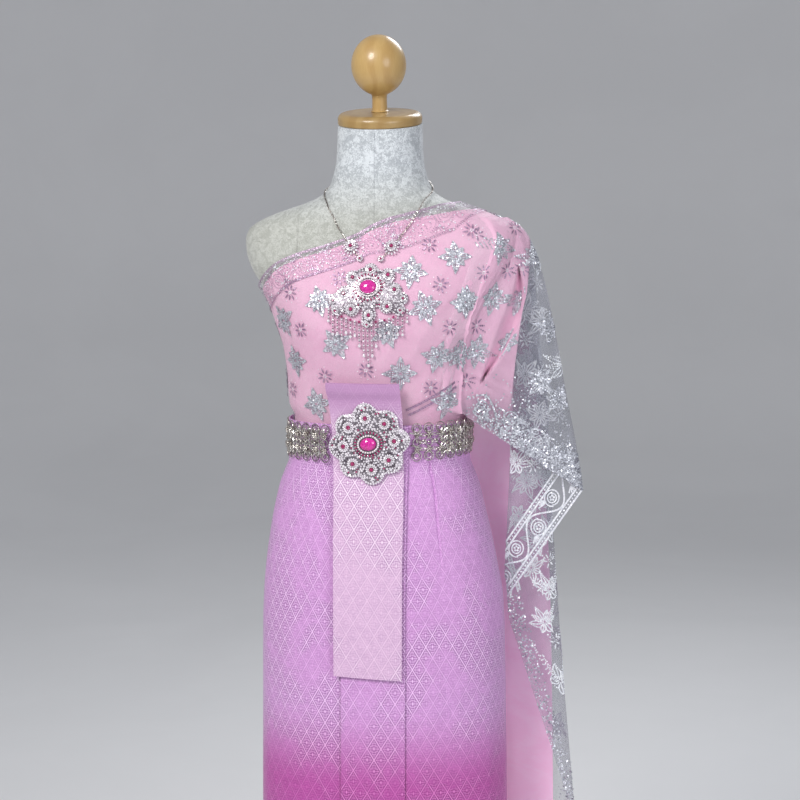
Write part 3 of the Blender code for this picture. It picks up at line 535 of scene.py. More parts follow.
def oval(rings, z, bearing):
    """Points of a body of level ovals, at heights z and bearings."""
    z, bearing = np.broadcast_arrays(np.asarray(z, float), np.asarray(bearing, float))
    across, ahead = np.cos(bearing), np.sin(bearing)
    depth = np.where(ahead < 0, section(rings, z, "front"), section(rings, z, "back"))
    power = 2 / SQUARENESS
    x = section(rings, z, "half_width") * np.sign(across) * np.abs(across) ** power
    y = depth * np.sign(ahead) * np.abs(ahead) ** power
    return np.stack([x + section(rings, z, "middle_x"), y, z], axis=-1)


def figure(z, bearing):
    """The dress form's own surface: the ovals, the bust, and the neck's lean."""
    points = oval(FIGURE, z, bearing)
    x, y, height = points[..., 0], points[..., 1], points[..., 2]
    side = np.exp(-(((np.abs(x) - BUST_X) / BUST_SPREAD_X) ** 2))
    level = np.exp(-(((height - BUST_Z) / BUST_SPREAD_Z) ** 2))
    facing = np.clip(-np.sin(bearing), 0, 1)
    points[..., 1] = y - BUST_RISE * side * level * facing
    share = np.clip((height - TILT_FROM_Z) / (NECK_TOP_Z - TILT_FROM_Z), 0, 1) ** 2
    points[..., 2] = height + share * y * math.tan(CAP_TILT)
    return points


def skirt(z, bearing):
    """The skirt cloth's inner surface."""
    return oval(SKIRT, z, bearing)


def moved_out(surface, z, bearing, out):
    """Points of a surface moved out along its normals."""
    z, bearing = np.broadcast_arrays(np.asarray(z, float), np.asarray(bearing, float))
    step = 1e-3
    around = surface(z, bearing + step) - surface(z, bearing - step)
    up = surface(z + step, bearing) - surface(z - step, bearing)
    return surface(z, bearing) + unit(np.cross(around, up)) * np.asarray(out, float)[..., None]


def front_bearing(rings, z, x):
    """The bearing at which the front of a body of ovals reaches x."""
    reach = (x - section(rings, z, "middle_x")) / section(rings, z, "half_width")
    across = np.sign(reach) * np.abs(reach) ** (SQUARENESS / 2)
    return -np.arccos(np.clip(across, -1, 1))


def on_skirt_front(x, z, out):
    """Points in front of the skirt, this far out of its inner surface."""
    x, z = np.broadcast_arrays(np.asarray(x, float), np.asarray(z, float))
    return moved_out(skirt, z, front_bearing(SKIRT, z, x), out + 0 * x)


def on_chest(x, z, out):
    """Points on the chest, this far out of the form."""
    x, z = np.broadcast_arrays(np.asarray(x, float), np.asarray(z, float))
    return moved_out(figure, z, front_bearing(FIGURE, z, x), out + 0 * x)


print("shoulder width:", round(float(figure(1.29, LEFT)[0] - figure(1.29, RIGHT)[0]), 4), "m")

# %% [markdown]
# ## The dress form in crushed velvet
# The form is a padded torso with no arms or legs. Its velvet has a pile that lies every way, and the
# light catches it in one patch and not the next. A mottle mask mixes a lit grey and a shaded grey, a
# painted sheen and shade of the pile, and the same mask lifts the surface a little; sheen gives the
# soft pale rim. The seams are thin raised lines: one down the front, and one on each side from the
# shoulder over the bust.

# %% Velvet
velvet, tree, shader = new_material("crushed_velvet", Roughness=0.62, Sheen_Weight=0.35)
shader["Sheen Roughness"].default_value = 0.4
place = tree.node("NewGeometry").outputs["Position"]
crush = tree.group("mottle", {"Vector": place, "Size": 0.013, "Crush": 1.3})
height = tree.node("SeparateXYZ", {0: place}).outputs[2]
cooler = tree.ranged(height, 1.30, 1.40)
# painted sheen: the mottle mixes a painted shaded grey and a painted lit grey of the crushed pile
shadowed = tree.mix(cooler, (0.40, 0.41, 0.37), (0.42, 0.45, 0.48))
lit = tree.mix(cooler, (0.53, 0.54, 0.50), (0.70, 0.74, 0.77))
feed(tree, shader["Base Color"], tree.mix(crush["Mask"], shadowed, lit))
feed(tree, shader["Normal"], tree.bump(crush["Fine"], 0.0012))
print("velvet ready")

# %% Build the form
FORM_ROWS, FORM_COLUMNS = 96, 112
SEAM_RADIUS = 0.0008


def form_shapes():
    """The torso and neck, closed by small rounded edges at its foot and top."""
    rings = [ring.z for ring in FIGURE]
    z = smooth_through(np.arange(len(rings)), rings, np.linspace(0, len(rings) - 1, FORM_ROWS))
    bearings = np.linspace(-math.pi, math.pi, FORM_COLUMNS, endpoint=False)
    wall = figure(z[:, None], bearings[None])
    order = np.arange(FORM_COLUMNS)[None]
    return [grid_shape(wall, around=True), Shape(wall[0], order[:, ::-1]), Shape(wall[-1], order)]


def tube_shape(path, radius, sides=8):
    """A round strand along a path of points."""
    ahead = unit(np.gradient(path, axis=0))
    side = unit(np.cross(ahead, np.array([0.31, 0.22, 0.93])))
    turns = np.linspace(0, 2 * math.pi, sides, endpoint=False)[None, :, None]
    spread = side[:, None] * np.cos(turns) + np.cross(ahead, side)[:, None] * np.sin(turns)
    return grid_shape(path[:, None] + np.asarray(radius).reshape(-1, 1, 1) * spread, around=True)


def seam_shapes():
    """Three seams down the front of the form, half sunk in the velvet."""
    z = np.linspace(0.765, NECK_TOP_Z - 0.004, 150)
    middle = figure(z, np.full_like(z, FRONT))
    lower = np.linspace(0.765, 1.333, 130)
    x = smooth_through([0.765, 1.01, 1.17, 1.25, 1.333], [0.075, 0.052, 0.068, 0.104, 0.106], lower)
    sides = [on_chest(sign * x, lower, 0 * lower) for sign in (-1, 1)]
    return [tube_shape(path, SEAM_RADIUS) for path in (middle, *sides)]


form = add_piece("velvet_form", form_shapes(), velvet, 50)
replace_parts(form, "form_body")
add_piece("velvet_seams", seam_shapes(), velvet, 80)

# %% [markdown]
# ## The turned wooden cap and ball
# The cap is a flat disc with a rounded edge, and the ball on its short stem is a little taller than it
# is wide. Both are turned profiles. The grain is rings about an axis that runs nearly across the
# wood, bent by noise, and a clear coat gives the small bright highlight of lacquer.

# %% Wood
def lacquered_wood(name, tone):
    """Turned wood under clear lacquer; tone darkens it."""
    made, tree, shader = new_material(name, Roughness=0.42)
    shader["Coat Weight"].default_value = 0.55
    shader["Coat Roughness"].default_value = 0.18
    place = tree.node("NewGeometry").outputs["Position"]
    bend = tree.noise(tree.scaled(place, (14, 14, 5)), 1.0, 2.0)
    along = tree.node("SeparateXYZ", {0: place}).outputs
    rings = tree.sum("ADD", tree.sum("MULTIPLY", along[0], 260), tree.sum("MULTIPLY", bend, 22))
    grain = tree.ranged(tree.sum("SINE", rings), -0.6, 1.0)
    fibres = tree.noise(tree.scaled(place, (900, 260, 90)), 1.0, 3.0)
    shades = ((0.58, 0.365, 0.125), (0.66, 0.44, 0.170), (0.46, 0.262, 0.075), (0.53, 0.32, 0.105))
    pale, palest, dark, darker = ([tone * value for value in shade] for shade in shades)
    light, deep = tree.mix(fibres, pale, palest), tree.mix(fibres, dark, darker)
    feed(tree, shader["Base Color"], tree.mix(tree.sum("MULTIPLY", grain, 0.55), light, deep))
    feed(tree, shader["Normal"], tree.bump(tree.sum("ADD", fibres, grain), 0.00012))
    return made


ball_wood, cap_wood = lacquered_wood("ball_wood", 0.80), lacquered_wood("cap_wood", 0.62)
print("wood ready")

# %% Turn the cap and the ball
CAP_RADIUS, CAP_HEIGHT = 0.0585, 0.0165
STEM_RADIUS, STEM_LENGTH = 0.0105, 0.022
BALL_RADIUS, BALL_HEIGHT = 0.0378, 0.083


def leaning(shapes):
    """Shapes stood on top of the neck, leaning with it."""
    lean, foot = np.array([[1, 0, 0], [0, math.cos(CAP_TILT), math.sin(CAP_TILT)],
                           [0, -math.sin(CAP_TILT), math.cos(CAP_TILT)]]), [0, 0, NECK_TOP_Z + 0.0004]
    return [Shape(shape.points @ lean + foot, shape.faces) for shape in shapes]


def cap_profile():
    """The disc's edge: a quarter round that runs into a gently domed top."""
    turns = np.linspace(0, math.pi / 2, 12)
    edge = 0.0090
    rounded = [
        (CAP_RADIUS - edge + edge * math.cos(t), CAP_HEIGHT - edge + edge * math.sin(t) * 0.92)
        for t in turns
    ]
    top = [(CAP_RADIUS * share, CAP_HEIGHT - 0.0007 * share**2) for share in (0.7, 0.45, 0.25)]
    return [(CAP_RADIUS - 0.0015, 0.0), (CAP_RADIUS - 0.0004, 0.0012), *rounded, *top]


def ball_profile():
    """The stem with a small bead at its foot, then the egg-shaped ball."""
    foot = CAP_HEIGHT + 0.0003
    top = foot + STEM_LENGTH
    stem = [(STEM_RADIUS + 0.0012, foot), (STEM_RADIUS + 0.0014, foot + 0.0010)]
    stem += [(STEM_RADIUS, foot + 0.0022), (STEM_RADIUS - 0.0003, top - 0.006), (STEM_RADIUS, top)]
    turns = np.linspace(math.asin(STEM_RADIUS / BALL_RADIUS) + 0.04, math.pi - 0.03, 44)
    ball = [(BALL_RADIUS * math.sin(t), top + BALL_HEIGHT / 2 * (1 - math.cos(t))) for t in turns]
    return stem + ball


cap = add_piece("wooden_cap", leaning(turned_shapes(cap_profile(), 96)), cap_wood, 35)
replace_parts(cap, "neck_cap")
ball = add_piece("wooden_ball", leaning(turned_shapes(ball_profile(), 72)), ball_wood, 35)
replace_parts(ball, "neck_ball")

# %% [markdown]
# ## The stand
# The photograph doesn't show the foot, so the stand is a plain one: a heavy round base, a socket and
# a pole. Satin steel gets its look from fine scratches that run one way, which only a stretched noise
# can give. The scratches vary the roughness more than the height.

# %% Steel, and the stand's turned pieces
steel, tree, shader = new_material("satin_steel", Metallic=1.0)
place = tree.node("NewGeometry").outputs["Position"]
scratches = tree.noise(tree.scaled(place, (60, 60, 2600)), 1.0, 3.0)
rubbed = tree.group("mottle", {"Vector": place, "Size": 0.05, "Crush": 0.4})["Mask"]
feed(tree, shader["Base Color"], tree.mix(rubbed, (0.55, 0.55, 0.57), (0.68, 0.68, 0.70)))
feed(tree, shader["Roughness"], tree.ranged(scratches, 0.2, 0.8, 0.24, 0.42))
feed(tree, shader["Normal"], tree.bump(scratches, 0.00006))
BASE_PROFILE = ((0.163, 0), (0.1645, 0.0007), (0.165, 0.002), (0.165, 0.0075), (0.1640, 0.0100))
BASE_PROFILE += ((0.159, 0.0120), (0.120, 0.0142), (0.070, 0.0156), (0.050, 0.016))
SOCKET_PROFILE = ((0.030, 0.0163), (0.030, 0.0220), (0.0290, 0.0236), (0.0255, 0.0262))
SOCKET_PROFILE += ((0.0235, 0.032), (0.0228, 0.046), (0.0222, 0.0495), (0.0214, 0.0503))
POLE_PROFILE = ((0.0155, 0.0506), (0.016, 0.0512), (0.016, 0.7590), (0.0155, 0.7597))
for name, profile, sides, node in (
    ("steel_base", BASE_PROFILE, 128, "stand_base"),
    ("steel_socket", SOCKET_PROFILE, 64, "stand_socket"),
    ("steel_pole", POLE_PROFILE, 64, "stand_pole"),
):
    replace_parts(add_piece(name, turned_shapes(profile, sides), steel, 35), node)

# %% [markdown]
# ## The pink wrap
# The wrap is one width of satin round the chest, cut so that its top edge runs from under the right
# arm up over the left shoulder. It is a grid round the body whose top row follows a table of edge
# heights. Soft gathers climb from the belt to the left shoulder, and the edge is turned in, because a
# raw edge would look like paper.

# %% Satin
PINK, DEEP_PINK = (0.94, 0.54, 0.73), (0.86, 0.43, 0.64)


def satin(name, pale, deep, painted_glow=0.0):
    """A soft satin: fine threads, and cloudy places; the last number is a painted glow, an emission in the
    satin's own colour that lights it without a lamp.
    """
    made, tree, shader = new_material(name, Roughness=0.46, Sheen_Weight=0.25, Emission_Strength=painted_glow)
    shader["Sheen Roughness"].default_value = 0.35
    cloth = tree.node("Attribute", attribute_name="cloth").outputs["Vector"]
    threads = tree.group("threads", {"Cloth": cloth, "Thread": 0.0005, "Slub": 0.7})
    cloud = tree.group("mottle", {"Vector": cloth, "Size": 0.06, "Crush": 0.3})["Mask"]
    share = tree.sum("MULTIPLY", tree.sum("ADD", cloud, threads["Slub"]), 0.5)
    color = tree.mix(share, deep, pale)
    feed(tree, shader["Base Color"], color)
    # painted light: an emission in the satin's own colour
    if painted_glow:
        feed(tree, shader["Emission Color"], color)
    feed(tree, shader["Roughness"], tree.ranged(threads["Slub"], 0.2, 0.8, 0.40, 0.55))
    feed(tree, shader["Normal"], tree.bump(threads["Height"], 0.00015))
    return made


pink_satin = satin("pink_satin", PINK, DEEP_PINK)
# painted light: the flap is the wrap's pink satin made brighter
lit_flap_satin = satin("lit_flap_satin", (0.92, 0.57, 0.74), (0.84, 0.47, 0.66))
# painted light: the lining is the pink satin made brighter, and it glows with an emission where it hangs in
# shade
painted_lit_lining_satin = satin("painted_lit_lining_satin", (0.97, 0.66, 0.86), (0.92, 0.56, 0.79), 0.13)
print("satins ready")

# %% The wrap's edge and gathers


class Edge(NamedTuple):
    """The wrap's top edge: its height at a bearing, in degrees."""

    bearing: float
    z: float


NECKLINE = [
    Edge(-180, 1.2240),
    Edge(-164, 1.2300),
    Edge(-146, 1.2446),
    Edge(-131, 1.2620),
    Edge(-117, 1.2750),
    Edge(-107, 1.2835),
    Edge(-99, 1.2930),
    Edge(-94, 1.3010),
    Edge(-89, 1.3150),
    Edge(-81, 1.3245),
    Edge(-64, 1.3320),
    Edge(-35, 1.3375),
    Edge(0, 1.3385),
    Edge(20, 1.3370),
    Edge(38, 1.3280),
    Edge(55, 1.3040),
    Edge(72, 1.2720),
    Edge(90, 1.2460),
    Edge(115, 1.2270),
    Edge(145, 1.2210),
    Edge(180, 1.2240),
]


class Gather(NamedTuple):
    """A soft fold that runs from the belt up to the left shoulder; bearings in degrees."""

    foot_bearing: float
    top_bearing: float
    height: float
    spread: float


GATHERS = [
    Gather(-66, -30, 0.0016, 3.2),
    Gather(-54, -27, 0.0026, 3.0),
    Gather(-43, -24, 0.0030, 3.0),
    Gather(-32, -21, 0.0034, 3.0),
    Gather(-21, -17, 0.0030, 3.0),
]
CREASES = [
    Gather(-60, -29, 0.0009, 1.2),
    Gather(-48, -26, 0.0011, 1.2),
    Gather(-37, -23, 0.0012, 1.2),
    Gather(-26, -19, 0.0012, 1.2),
    Gather(-88, -40, 0.0008, 2.4),
    Gather(-104, -50, 0.0006, 2.6),
]
GATHER_TOP_Z = 1.265


def wrapped(bearing):
    """Bearings brought between minus and plus half a turn."""
    return np.arctan2(np.sin(bearing), np.cos(bearing))


def neckline(bearing):
    """The height of the wrap's top edge at these bearings."""
    degrees = np.degrees(wrapped(bearing))
    return smooth_through([e.bearing for e in NECKLINE], [e.z for e in NECKLINE], degrees)


def folds_rise(folds, z, bearing):
    """How far a list of soft folds stands out."""
    degrees = np.degrees(wrapped(bearing))
    share = np.clip((z - SKIRT_TOP_Z) / (GATHER_TOP_Z - SKIRT_TOP_Z), 0, 1)
    fade = np.clip((z - SKIRT_TOP_Z - 0.005) / 0.05, 0, 1) * (1 - share**3)
    rise = 0 * z * bearing
    for fold in folds:
        middle = fold.foot_bearing + (fold.top_bearing - fold.foot_bearing) * share
        rise = rise + fold.height * np.exp(-(((degrees - middle) / fold.spread) ** 2))
    return rise * fade


def gather_rise(z, bearing):
    """The gathers with the finer creases between them."""
    return folds_rise(GATHERS, z, bearing) + folds_rise(CREASES, z, bearing)


print("edge at the left shoulder:", neckline(LEFT), "m")

# %% Build the wrap
WRAP_ROWS, WRAP_COLUMNS = 84, 264
TURNED_IN = ((1.0, -0.0006), (0.997, -0.0018), (0.985, -0.0024))


def wrap_bearings(columns):
    """Once round, from the middle of the back over the right side, the front and the left side."""
    return np.linspace(BACK - 2 * math.pi, BACK, columns)


def wrap_grid(out, rows=WRAP_ROWS, columns=WRAP_COLUMNS, shares=None, drop=0.0):
    """The wrap's points, and how far along and up the cloth they lie."""
    bearings = wrap_bearings(columns)
    shares = 1 - (1 - np.linspace(0, 1, rows)) ** 1.35 if shares is None else shares
    top = neckline(bearings) - drop
    z = BODICE_FOOT_Z + (top - BODICE_FOOT_Z) * shares[:, None]
    bearings = np.broadcast_to(bearings, z.shape)
    points = moved_out(figure, z, bearings, out + gather_rise(z, bearings))
    return points, np.stack([bearings * 0.125, z, 0 * z], axis=-1)


def wrap_shapes(out, drop=0.0):
    """The wrap with its top edge turned in, as one run of rows."""
    points, cloth = wrap_grid(out, drop=drop)
    turned, turned_cloth = [], []
    for share, shift in TURNED_IN:
        row, row_cloth = wrap_grid(out + shift, shares=np.array([share]), drop=drop)
        turned.append(row)
        turned_cloth.append(row_cloth)
    return np.concatenate([points, *turned]), np.concatenate([cloth, *turned_cloth])


NET_ABOVE_SATIN = 0.0085
points, cloth = wrap_shapes(SATIN_OUT, NET_ABOVE_SATIN)
pink_wrap = add_piece("pink_wrap", [grid_shape(points)], pink_satin, 60, cloth)
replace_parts(pink_wrap, "bodice_front", "bodice_back")

# %% [markdown]
# ## Sheer net
# The embroidered cloth is a fine net. Each hole is smaller than a dot of the picture, so the holes
# are not cut in the mesh: a mask of crossing threads drives the material's alpha. The net is a single
# surface, because two layers of see-through cloth in one place would look twice as thick.

# %% Net
NET_CELL = 0.0009


def net_material(name, least, most, pale, dull, thinned=False):
    """See-through net: least and most are how much it covers between its threads and on them."""
    made, tree, shader = new_material(name, Roughness=0.55, Sheen_Weight=0.2)
    cloth = tree.node("Attribute", attribute_name="cloth").outputs["Vector"]
    threads = tree.group("threads", {"Cloth": cloth, "Thread": NET_CELL, "Slub": 0.45})
    cloud = tree.group("mottle", {"Vector": cloth, "Size": 0.09, "Crush": 0.3})["Mask"]
    thick = tree.sum("ADD", tree.sum("MULTIPLY", threads["Height"], 0.8), tree.sum("MULTIPLY", cloud, 0.3))
    feed(tree, shader["Base Color"], tree.mix(cloud, dull, pale))
    cover = tree.ranged(thick, 0.35, 1.25, least, most)
    if thinned:
        cover = tree.sum("MULTIPLY", cover, tree.node("Attribute", attribute_name="shade").outputs["Fac"])
    feed(tree, shader["Alpha"], cover)
    feed(tree, shader["Normal"], tree.bump(threads["Height"], 0.0001))
    return made


chest_net = net_material("chest_net", 0.08, 0.26, (0.78, 0.74, 0.80), (0.66, 0.64, 0.70))
# painted shade: the hanging net is the chest's pale net painted dark grey
shaded_drape_net = net_material("shaded_drape_net", 0.22, 0.44, (0.34, 0.35, 0.42), (0.22, 0.23, 0.29), True)
points, cloth = wrap_shapes(NET_OUT)
net_wrap = add_piece("net_wrap", [grid_shape(points)], chest_net, 60, cloth)
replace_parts(net_wrap, "shoulder_cloth_front", "shoulder_cloth_back")

# %% [markdown]
# ## The cascade from the shoulder
# The rest of the net falls from the shoulder in folds that turn back on themselves. Each fold line is
# a curve from the shoulder to the cloth's edge, and the cloth is eased from one line to the next, so
# it bends softly at every turn. The pull of gravity is already in the lines. A last step pushes out
# any point that would pass through the body, using the nearest of many samples of its surface.

# %% Fold lines of the cascade


class Strand(NamedTuple):
    """One place on a fold line of hanging cloth."""

    x: float
    y: float
    z: float


DRAPE_FOLDS = {
    "front_edge": [
        Strand(0.1500, -0.034, 1.3160),
        Strand(0.1650, -0.048, 1.2900),
        Strand(0.1560, -0.066, 1.2450),
        Strand(0.1440, -0.074, 1.1900),
        Strand(0.1310, -0.070, 1.1400),
        Strand(0.1230, -0.058, 1.0900),
        Strand(0.1200, -0.050, 1.0520),
    ],
    "outer": [
        Strand(0.1780, -0.008, 1.3215),
        Strand(0.2010, -0.006, 1.3040),
        Strand(0.2210, -0.004, 1.2615),
        Strand(0.2390, -0.002, 1.1900),
        Strand(0.2590, 0.001, 1.0840),
        Strand(0.2755, 0.003, 1.0000),
        Strand(0.2840, 0.004, 0.9430),
    ],
    "inner": [
        Strand(0.1790, 0.003, 1.3175),
        Strand(0.1965, 0.002, 1.3000),
        Strand(0.2000, 0.000, 1.2750),
        Strand(0.1960, -0.004, 1.2300),
        Strand(0.1900, -0.004, 1.1500),
        Strand(0.1860, 0.004, 1.0700),
        Strand(0.1810, 0.018, 0.9800),
        Strand(0.1715, 0.030, 0.7745),
    ],
    "second_outer": [
        Strand(0.1830, 0.014, 1.3165),
        Strand(0.2010, 0.013, 1.3000),
        Strand(0.2090, 0.013, 1.2750),
        Strand(0.2140, 0.010, 1.2300),
        Strand(0.2215, 0.012, 1.1500),
        Strand(0.2310, 0.030, 1.0700),
        Strand(0.2350, 0.044, 0.9800),
        Strand(0.2480, 0.052, 0.7750),
        Strand(0.2760, 0.052, 0.4550),
    ],
    "second_inner": [
        Strand(0.1680, 0.052, 1.3110),
        Strand(0.1760, 0.066, 1.2850),
        Strand(0.1640, 0.098, 1.1800),
        Strand(0.1660, 0.112, 1.0700),
        Strand(0.1710, 0.114, 0.9800),
        Strand(0.1880, 0.110, 0.6500),
        Strand(0.1980, 0.100, 0.2600),
    ],
    "back_edge": [
        Strand(0.0990, 0.066, 1.3310),
        Strand(0.0750, 0.106, 1.2400),
        Strand(0.0400, 0.124, 1.0000),
        Strand(0.0280, 0.146, 0.8600),
        Strand(0.0240, 0.158, 0.7000),
        Strand(0.0200, 0.160, 0.4000),
        Strand(0.0200, 0.160, 0.0900),
    ],
}
TAIL_LINING = {
    "slit_edge": [
        Strand(0.1955, 0.007, 1.2960),
        Strand(0.1950, 0.004, 1.2700),
        Strand(0.1860, -0.002, 1.2350),
        Strand(0.1760, -0.004, 1.2090),
        Strand(0.1575, 0.004, 1.1500),
        Strand(0.1395, 0.022, 1.0720),
        Strand(0.1260, 0.078, 0.9800),
        Strand(0.0760, 0.122, 0.8700),
        Strand(0.0420, 0.141, 0.7400),
        Strand(0.0300, 0.145, 0.5000),
        Strand(0.0300, 0.145, 0.1100),
    ],
    "outer": [
        Strand(0.1935, 0.021, 1.2960),
        Strand(0.1945, 0.023, 1.2700),
        Strand(0.1985, 0.020, 1.2200),
        Strand(0.2070, 0.018, 1.1500),
        Strand(0.2165, 0.035, 1.0700),
        Strand(0.2255, 0.047, 0.9800),
        Strand(0.2370, 0.0556, 0.7750),
        Strand(0.2430, 0.0580, 0.4800),
        Strand(0.2460, 0.0590, 0.1100),
    ],
}
ROWS_TO_TOP = 1.6
BODICE_CLEAR, SKIRT_CLEAR, SEAT_GAP = 0.0026, 0.0090, 0.0006
print("fold lines:", len(DRAPE_FOLDS), "lining edges:", len(TAIL_LINING))

# %% Cloth between fold lines


def fold_line(strands, rows):
    """Points down one fold line, closest together where it bends over the shoulder."""
    points = np.array(strands)
    lengths = np.append(0, np.cumsum(np.linalg.norm(np.diff(points, axis=0), axis=1)))
    at = lengths[-1] * np.linspace(0, 1, rows) ** ROWS_TO_TOP
    return np.stack([smooth_through(lengths, points[:, axis], at) for axis in range(3)], axis=-1)


def hanging_grid(lines, columns_between):
    """Cloth that turns back on itself at each fold line: eased across, even in depth."""
    columns = []
    for line, following, count in zip(lines[:-1], lines[1:], columns_between):
        for share in np.arange(count) / count:
            eased = (1 - math.cos(math.pi * share)) / 2
            columns.append(line + (following - line) * np.array([eased, share, eased]))
    columns.append(lines[-1])
    return np.stack(columns, axis=1)


def clothed(z, bearing):
    """The wrap's outside."""
    return moved_out(figure, z, bearing, BODICE_OUTSIDE + gather_rise(z, bearing))


def kept_clear(points, surface, z_from, z_to, gap, settle=False):
    """Points moved out to this gap from a surface; settled ones are drawn in to it too."""
    heights, turns = np.meshgrid(
        np.arange(z_from, z_to, 0.006), np.linspace(-math.pi, math.pi, 160), indexing="ij"
    )
    near = moved_out(surface, heights, turns, 0 * heights).reshape(-1, 3)
    normals = moved_out(surface, heights, turns, 0 * heights + 1).reshape(-1, 3) - near
    tree = KDTree(len(near))
    for index, point in enumerate(near):
        tree.insert(point, index)
    tree.balance()
    flat = points.reshape(-1, 3)
    closest = np.array([tree.find(point)[1] for point in flat])
    distance = ((flat - near[closest]) * normals[closest]).sum(axis=-1)
    step = gap - distance if settle else np.maximum(gap - distance, 0)
    return (flat + normals[closest] * step[:, None]).reshape(points.shape)


def seated(points, gap):
    """Points drawn in to the wrap, to lie on it at this gap."""
    return kept_clear(points, clothed, SKIRT_TOP_Z, TILT_FROM_Z, gap, settle=True)


def clear_of_body(points):
    """Hanging cloth kept outside the wrap and the skirt."""
    above = kept_clear(points, clothed, SKIRT_TOP_Z, TILT_FROM_Z, BODICE_CLEAR)
    return kept_clear(above, skirt, HEM_Z, SKIRT_TOP_Z, SKIRT_CLEAR)


def cloth_lengths(points):
    """How far along and up the cloth each point of a grid lies, for its weave."""
    steps = np.linalg.norm(np.diff(points, axis=1), axis=-1).mean(axis=0)
    along = np.broadcast_to(np.append(0, np.cumsum(steps)), points.shape[:2])
    falls = np.linalg.norm(np.diff(points, axis=0), axis=-1)
    up = np.vstack([np.zeros(points.shape[1]), np.cumsum(falls, axis=0)])
    return np.stack([along, up, 0 * up], axis=-1)


print("drape helpers ready")

# %% Hang the cascade
DRAPE_ROWS = 96
DRAPE_COLUMNS = {"front_edge": 60, "outer": 26, "inner": 26, "second_outer": 26, "second_inner": 56}
DRAPE_WAVE, RIPPLE = 0.005, 0.0016


def drape_grid():
    """The cascade's points from its hem up to the shoulder."""
    lines = [fold_line(strands, DRAPE_ROWS) for strands in DRAPE_FOLDS.values()]
    lines[0] = seated(lines[0], BODICE_CLEAR)
    grid = hanging_grid(lines, DRAPE_COLUMNS.values())
    down = np.linspace(0, 1, DRAPE_ROWS)[:, None]
    first = sum(list(DRAPE_COLUMNS.values())[:-1])
    across = np.linspace(0, 1, grid.shape[1] - first)
    waves = DRAPE_WAVE * np.sin(across * 6 * math.pi) * np.sin(across * math.pi)
    grid[:, first:, 1] += waves * down**0.6
    columns = np.arange(grid.shape[1])[None]
    ripple = np.sin(columns * 0.42 + 3 * down) * np.sin(columns * 0.13 + 5 * down + 1)
    grid[..., 1] += RIPPLE * ripple * np.clip(down * 2.5, 0, 1)
    return clear_of_body(grid)[::-1]


SLIT = ((1.000, 0.126), (1.050, 0.128), (1.100, 0.146), (1.150, 0.164), (1.190, 0.179))
SLIT += ((1.223, 0.190), (1.260, 0.194), (1.300, 0.192), (1.330, 0.188))
FLAP_EDGE = ((1.000, 0.180), (1.050, 0.184), (1.100, 0.189), (1.190, 0.200), (1.225, 0.207))
FLAP_EDGE += ((1.280, 0.210), (1.330, 0.205))
SLIT_WIDTH, SLIT_FOOT_Z, SLIT_TOP_Z = 0.020, 1.095, 1.255


def side_x(line, z):
    """How far to the side a line down the front is at a height."""
    return smooth_through([place[0] for place in line], [place[1] for place in line], z)


def in_slit(points):
    """Where the slit is: one in its middle and none outside it."""
    up = np.clip((points[..., 2] - SLIT_FOOT_Z) / (SLIT_TOP_Z - SLIT_FOOT_Z), 0, 1)
    half = SLIT_WIDTH / 2 * np.sin(up * math.pi) + 1e-6
    past = points[..., 0] - side_x(SLIT, points[..., 2])
    return np.exp(-(((past - half) / half) ** 4))


def net_cover(points, along):
    """How much net there is: less over the pink flap, none in the slit, all of it elsewhere."""
    x, z = points[..., 0], points[..., 2]
    high = np.clip((z - 1.055) / 0.03, 0, 1)
    less = np.where(x < side_x(SLIT, z), 0.30 * np.clip(along / 0.014, 0, 1), 0.55)
    less = np.where(x < side_x(FLAP_EDGE, z), less, 1.0)
    cover = 1 - high * (1 - less * (1 - in_slit(points)))
    cover[:, DRAPE_COLUMNS["front_edge"] + 1 :] = 1.0
    return cover


drape_points = drape_grid()
drape_cloth = cloth_lengths(drape_points)
cover = net_cover(drape_points, drape_cloth[..., 0])
shoulder_net = add_piece("shoulder_net", [grid_shape(drape_points)], shaded_drape_net, 80,
                         drape_cloth, shade=cover.ravel())
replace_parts(shoulder_net, "shoulder_drape")

# %% [markdown]
# ## The pink flap and tail behind the net
# Two panels of pink satin lie behind the net at the shoulder. The flap is the wrap's own cloth, which
# falls from the shoulder to the belt and ends at a slit. It is taken from the net's front panel, moved
# a little behind it, and cut along the slit. The tail is a long free panel that hangs to the floor.

# %% Cut the flap from the net's front panel
FLAP_COLUMNS, FLAP_BEHIND, FLAP_OFF_BODY, GROOVE = 74, 0.0030, 0.0012, 0.013
FLAP_ROLL = ((-0.0006, 0.0035), (-0.0030, 0.0085))
BRIDGE_COLUMNS, BRIDGE_REACH, BRIDGE_TUCK = 12, 0.030, 0.0022


def bridge(start):
    """Points from inside the chest's cloth to the flap's first column, eased so that no step shows."""
    reach = BRIDGE_REACH * np.clip((start[:, 2] - 1.045) / 0.02, 0.05, 1)
    bearing = front_bearing(FIGURE, start[:, 2], start[:, 0] - reach)
    foot = clothed(start[:, 2], bearing) + np.array([0, BRIDGE_TUCK, 0])
    share = np.linspace(0, 1, BRIDGE_COLUMNS, endpoint=False)[None]
    eased = share * share * (3 - 2 * share)
    return np.stack([foot[:, None, k] + (start - foot)[:, None, k] * at
                     for k, at in enumerate((share, eased, share))], axis=-1)


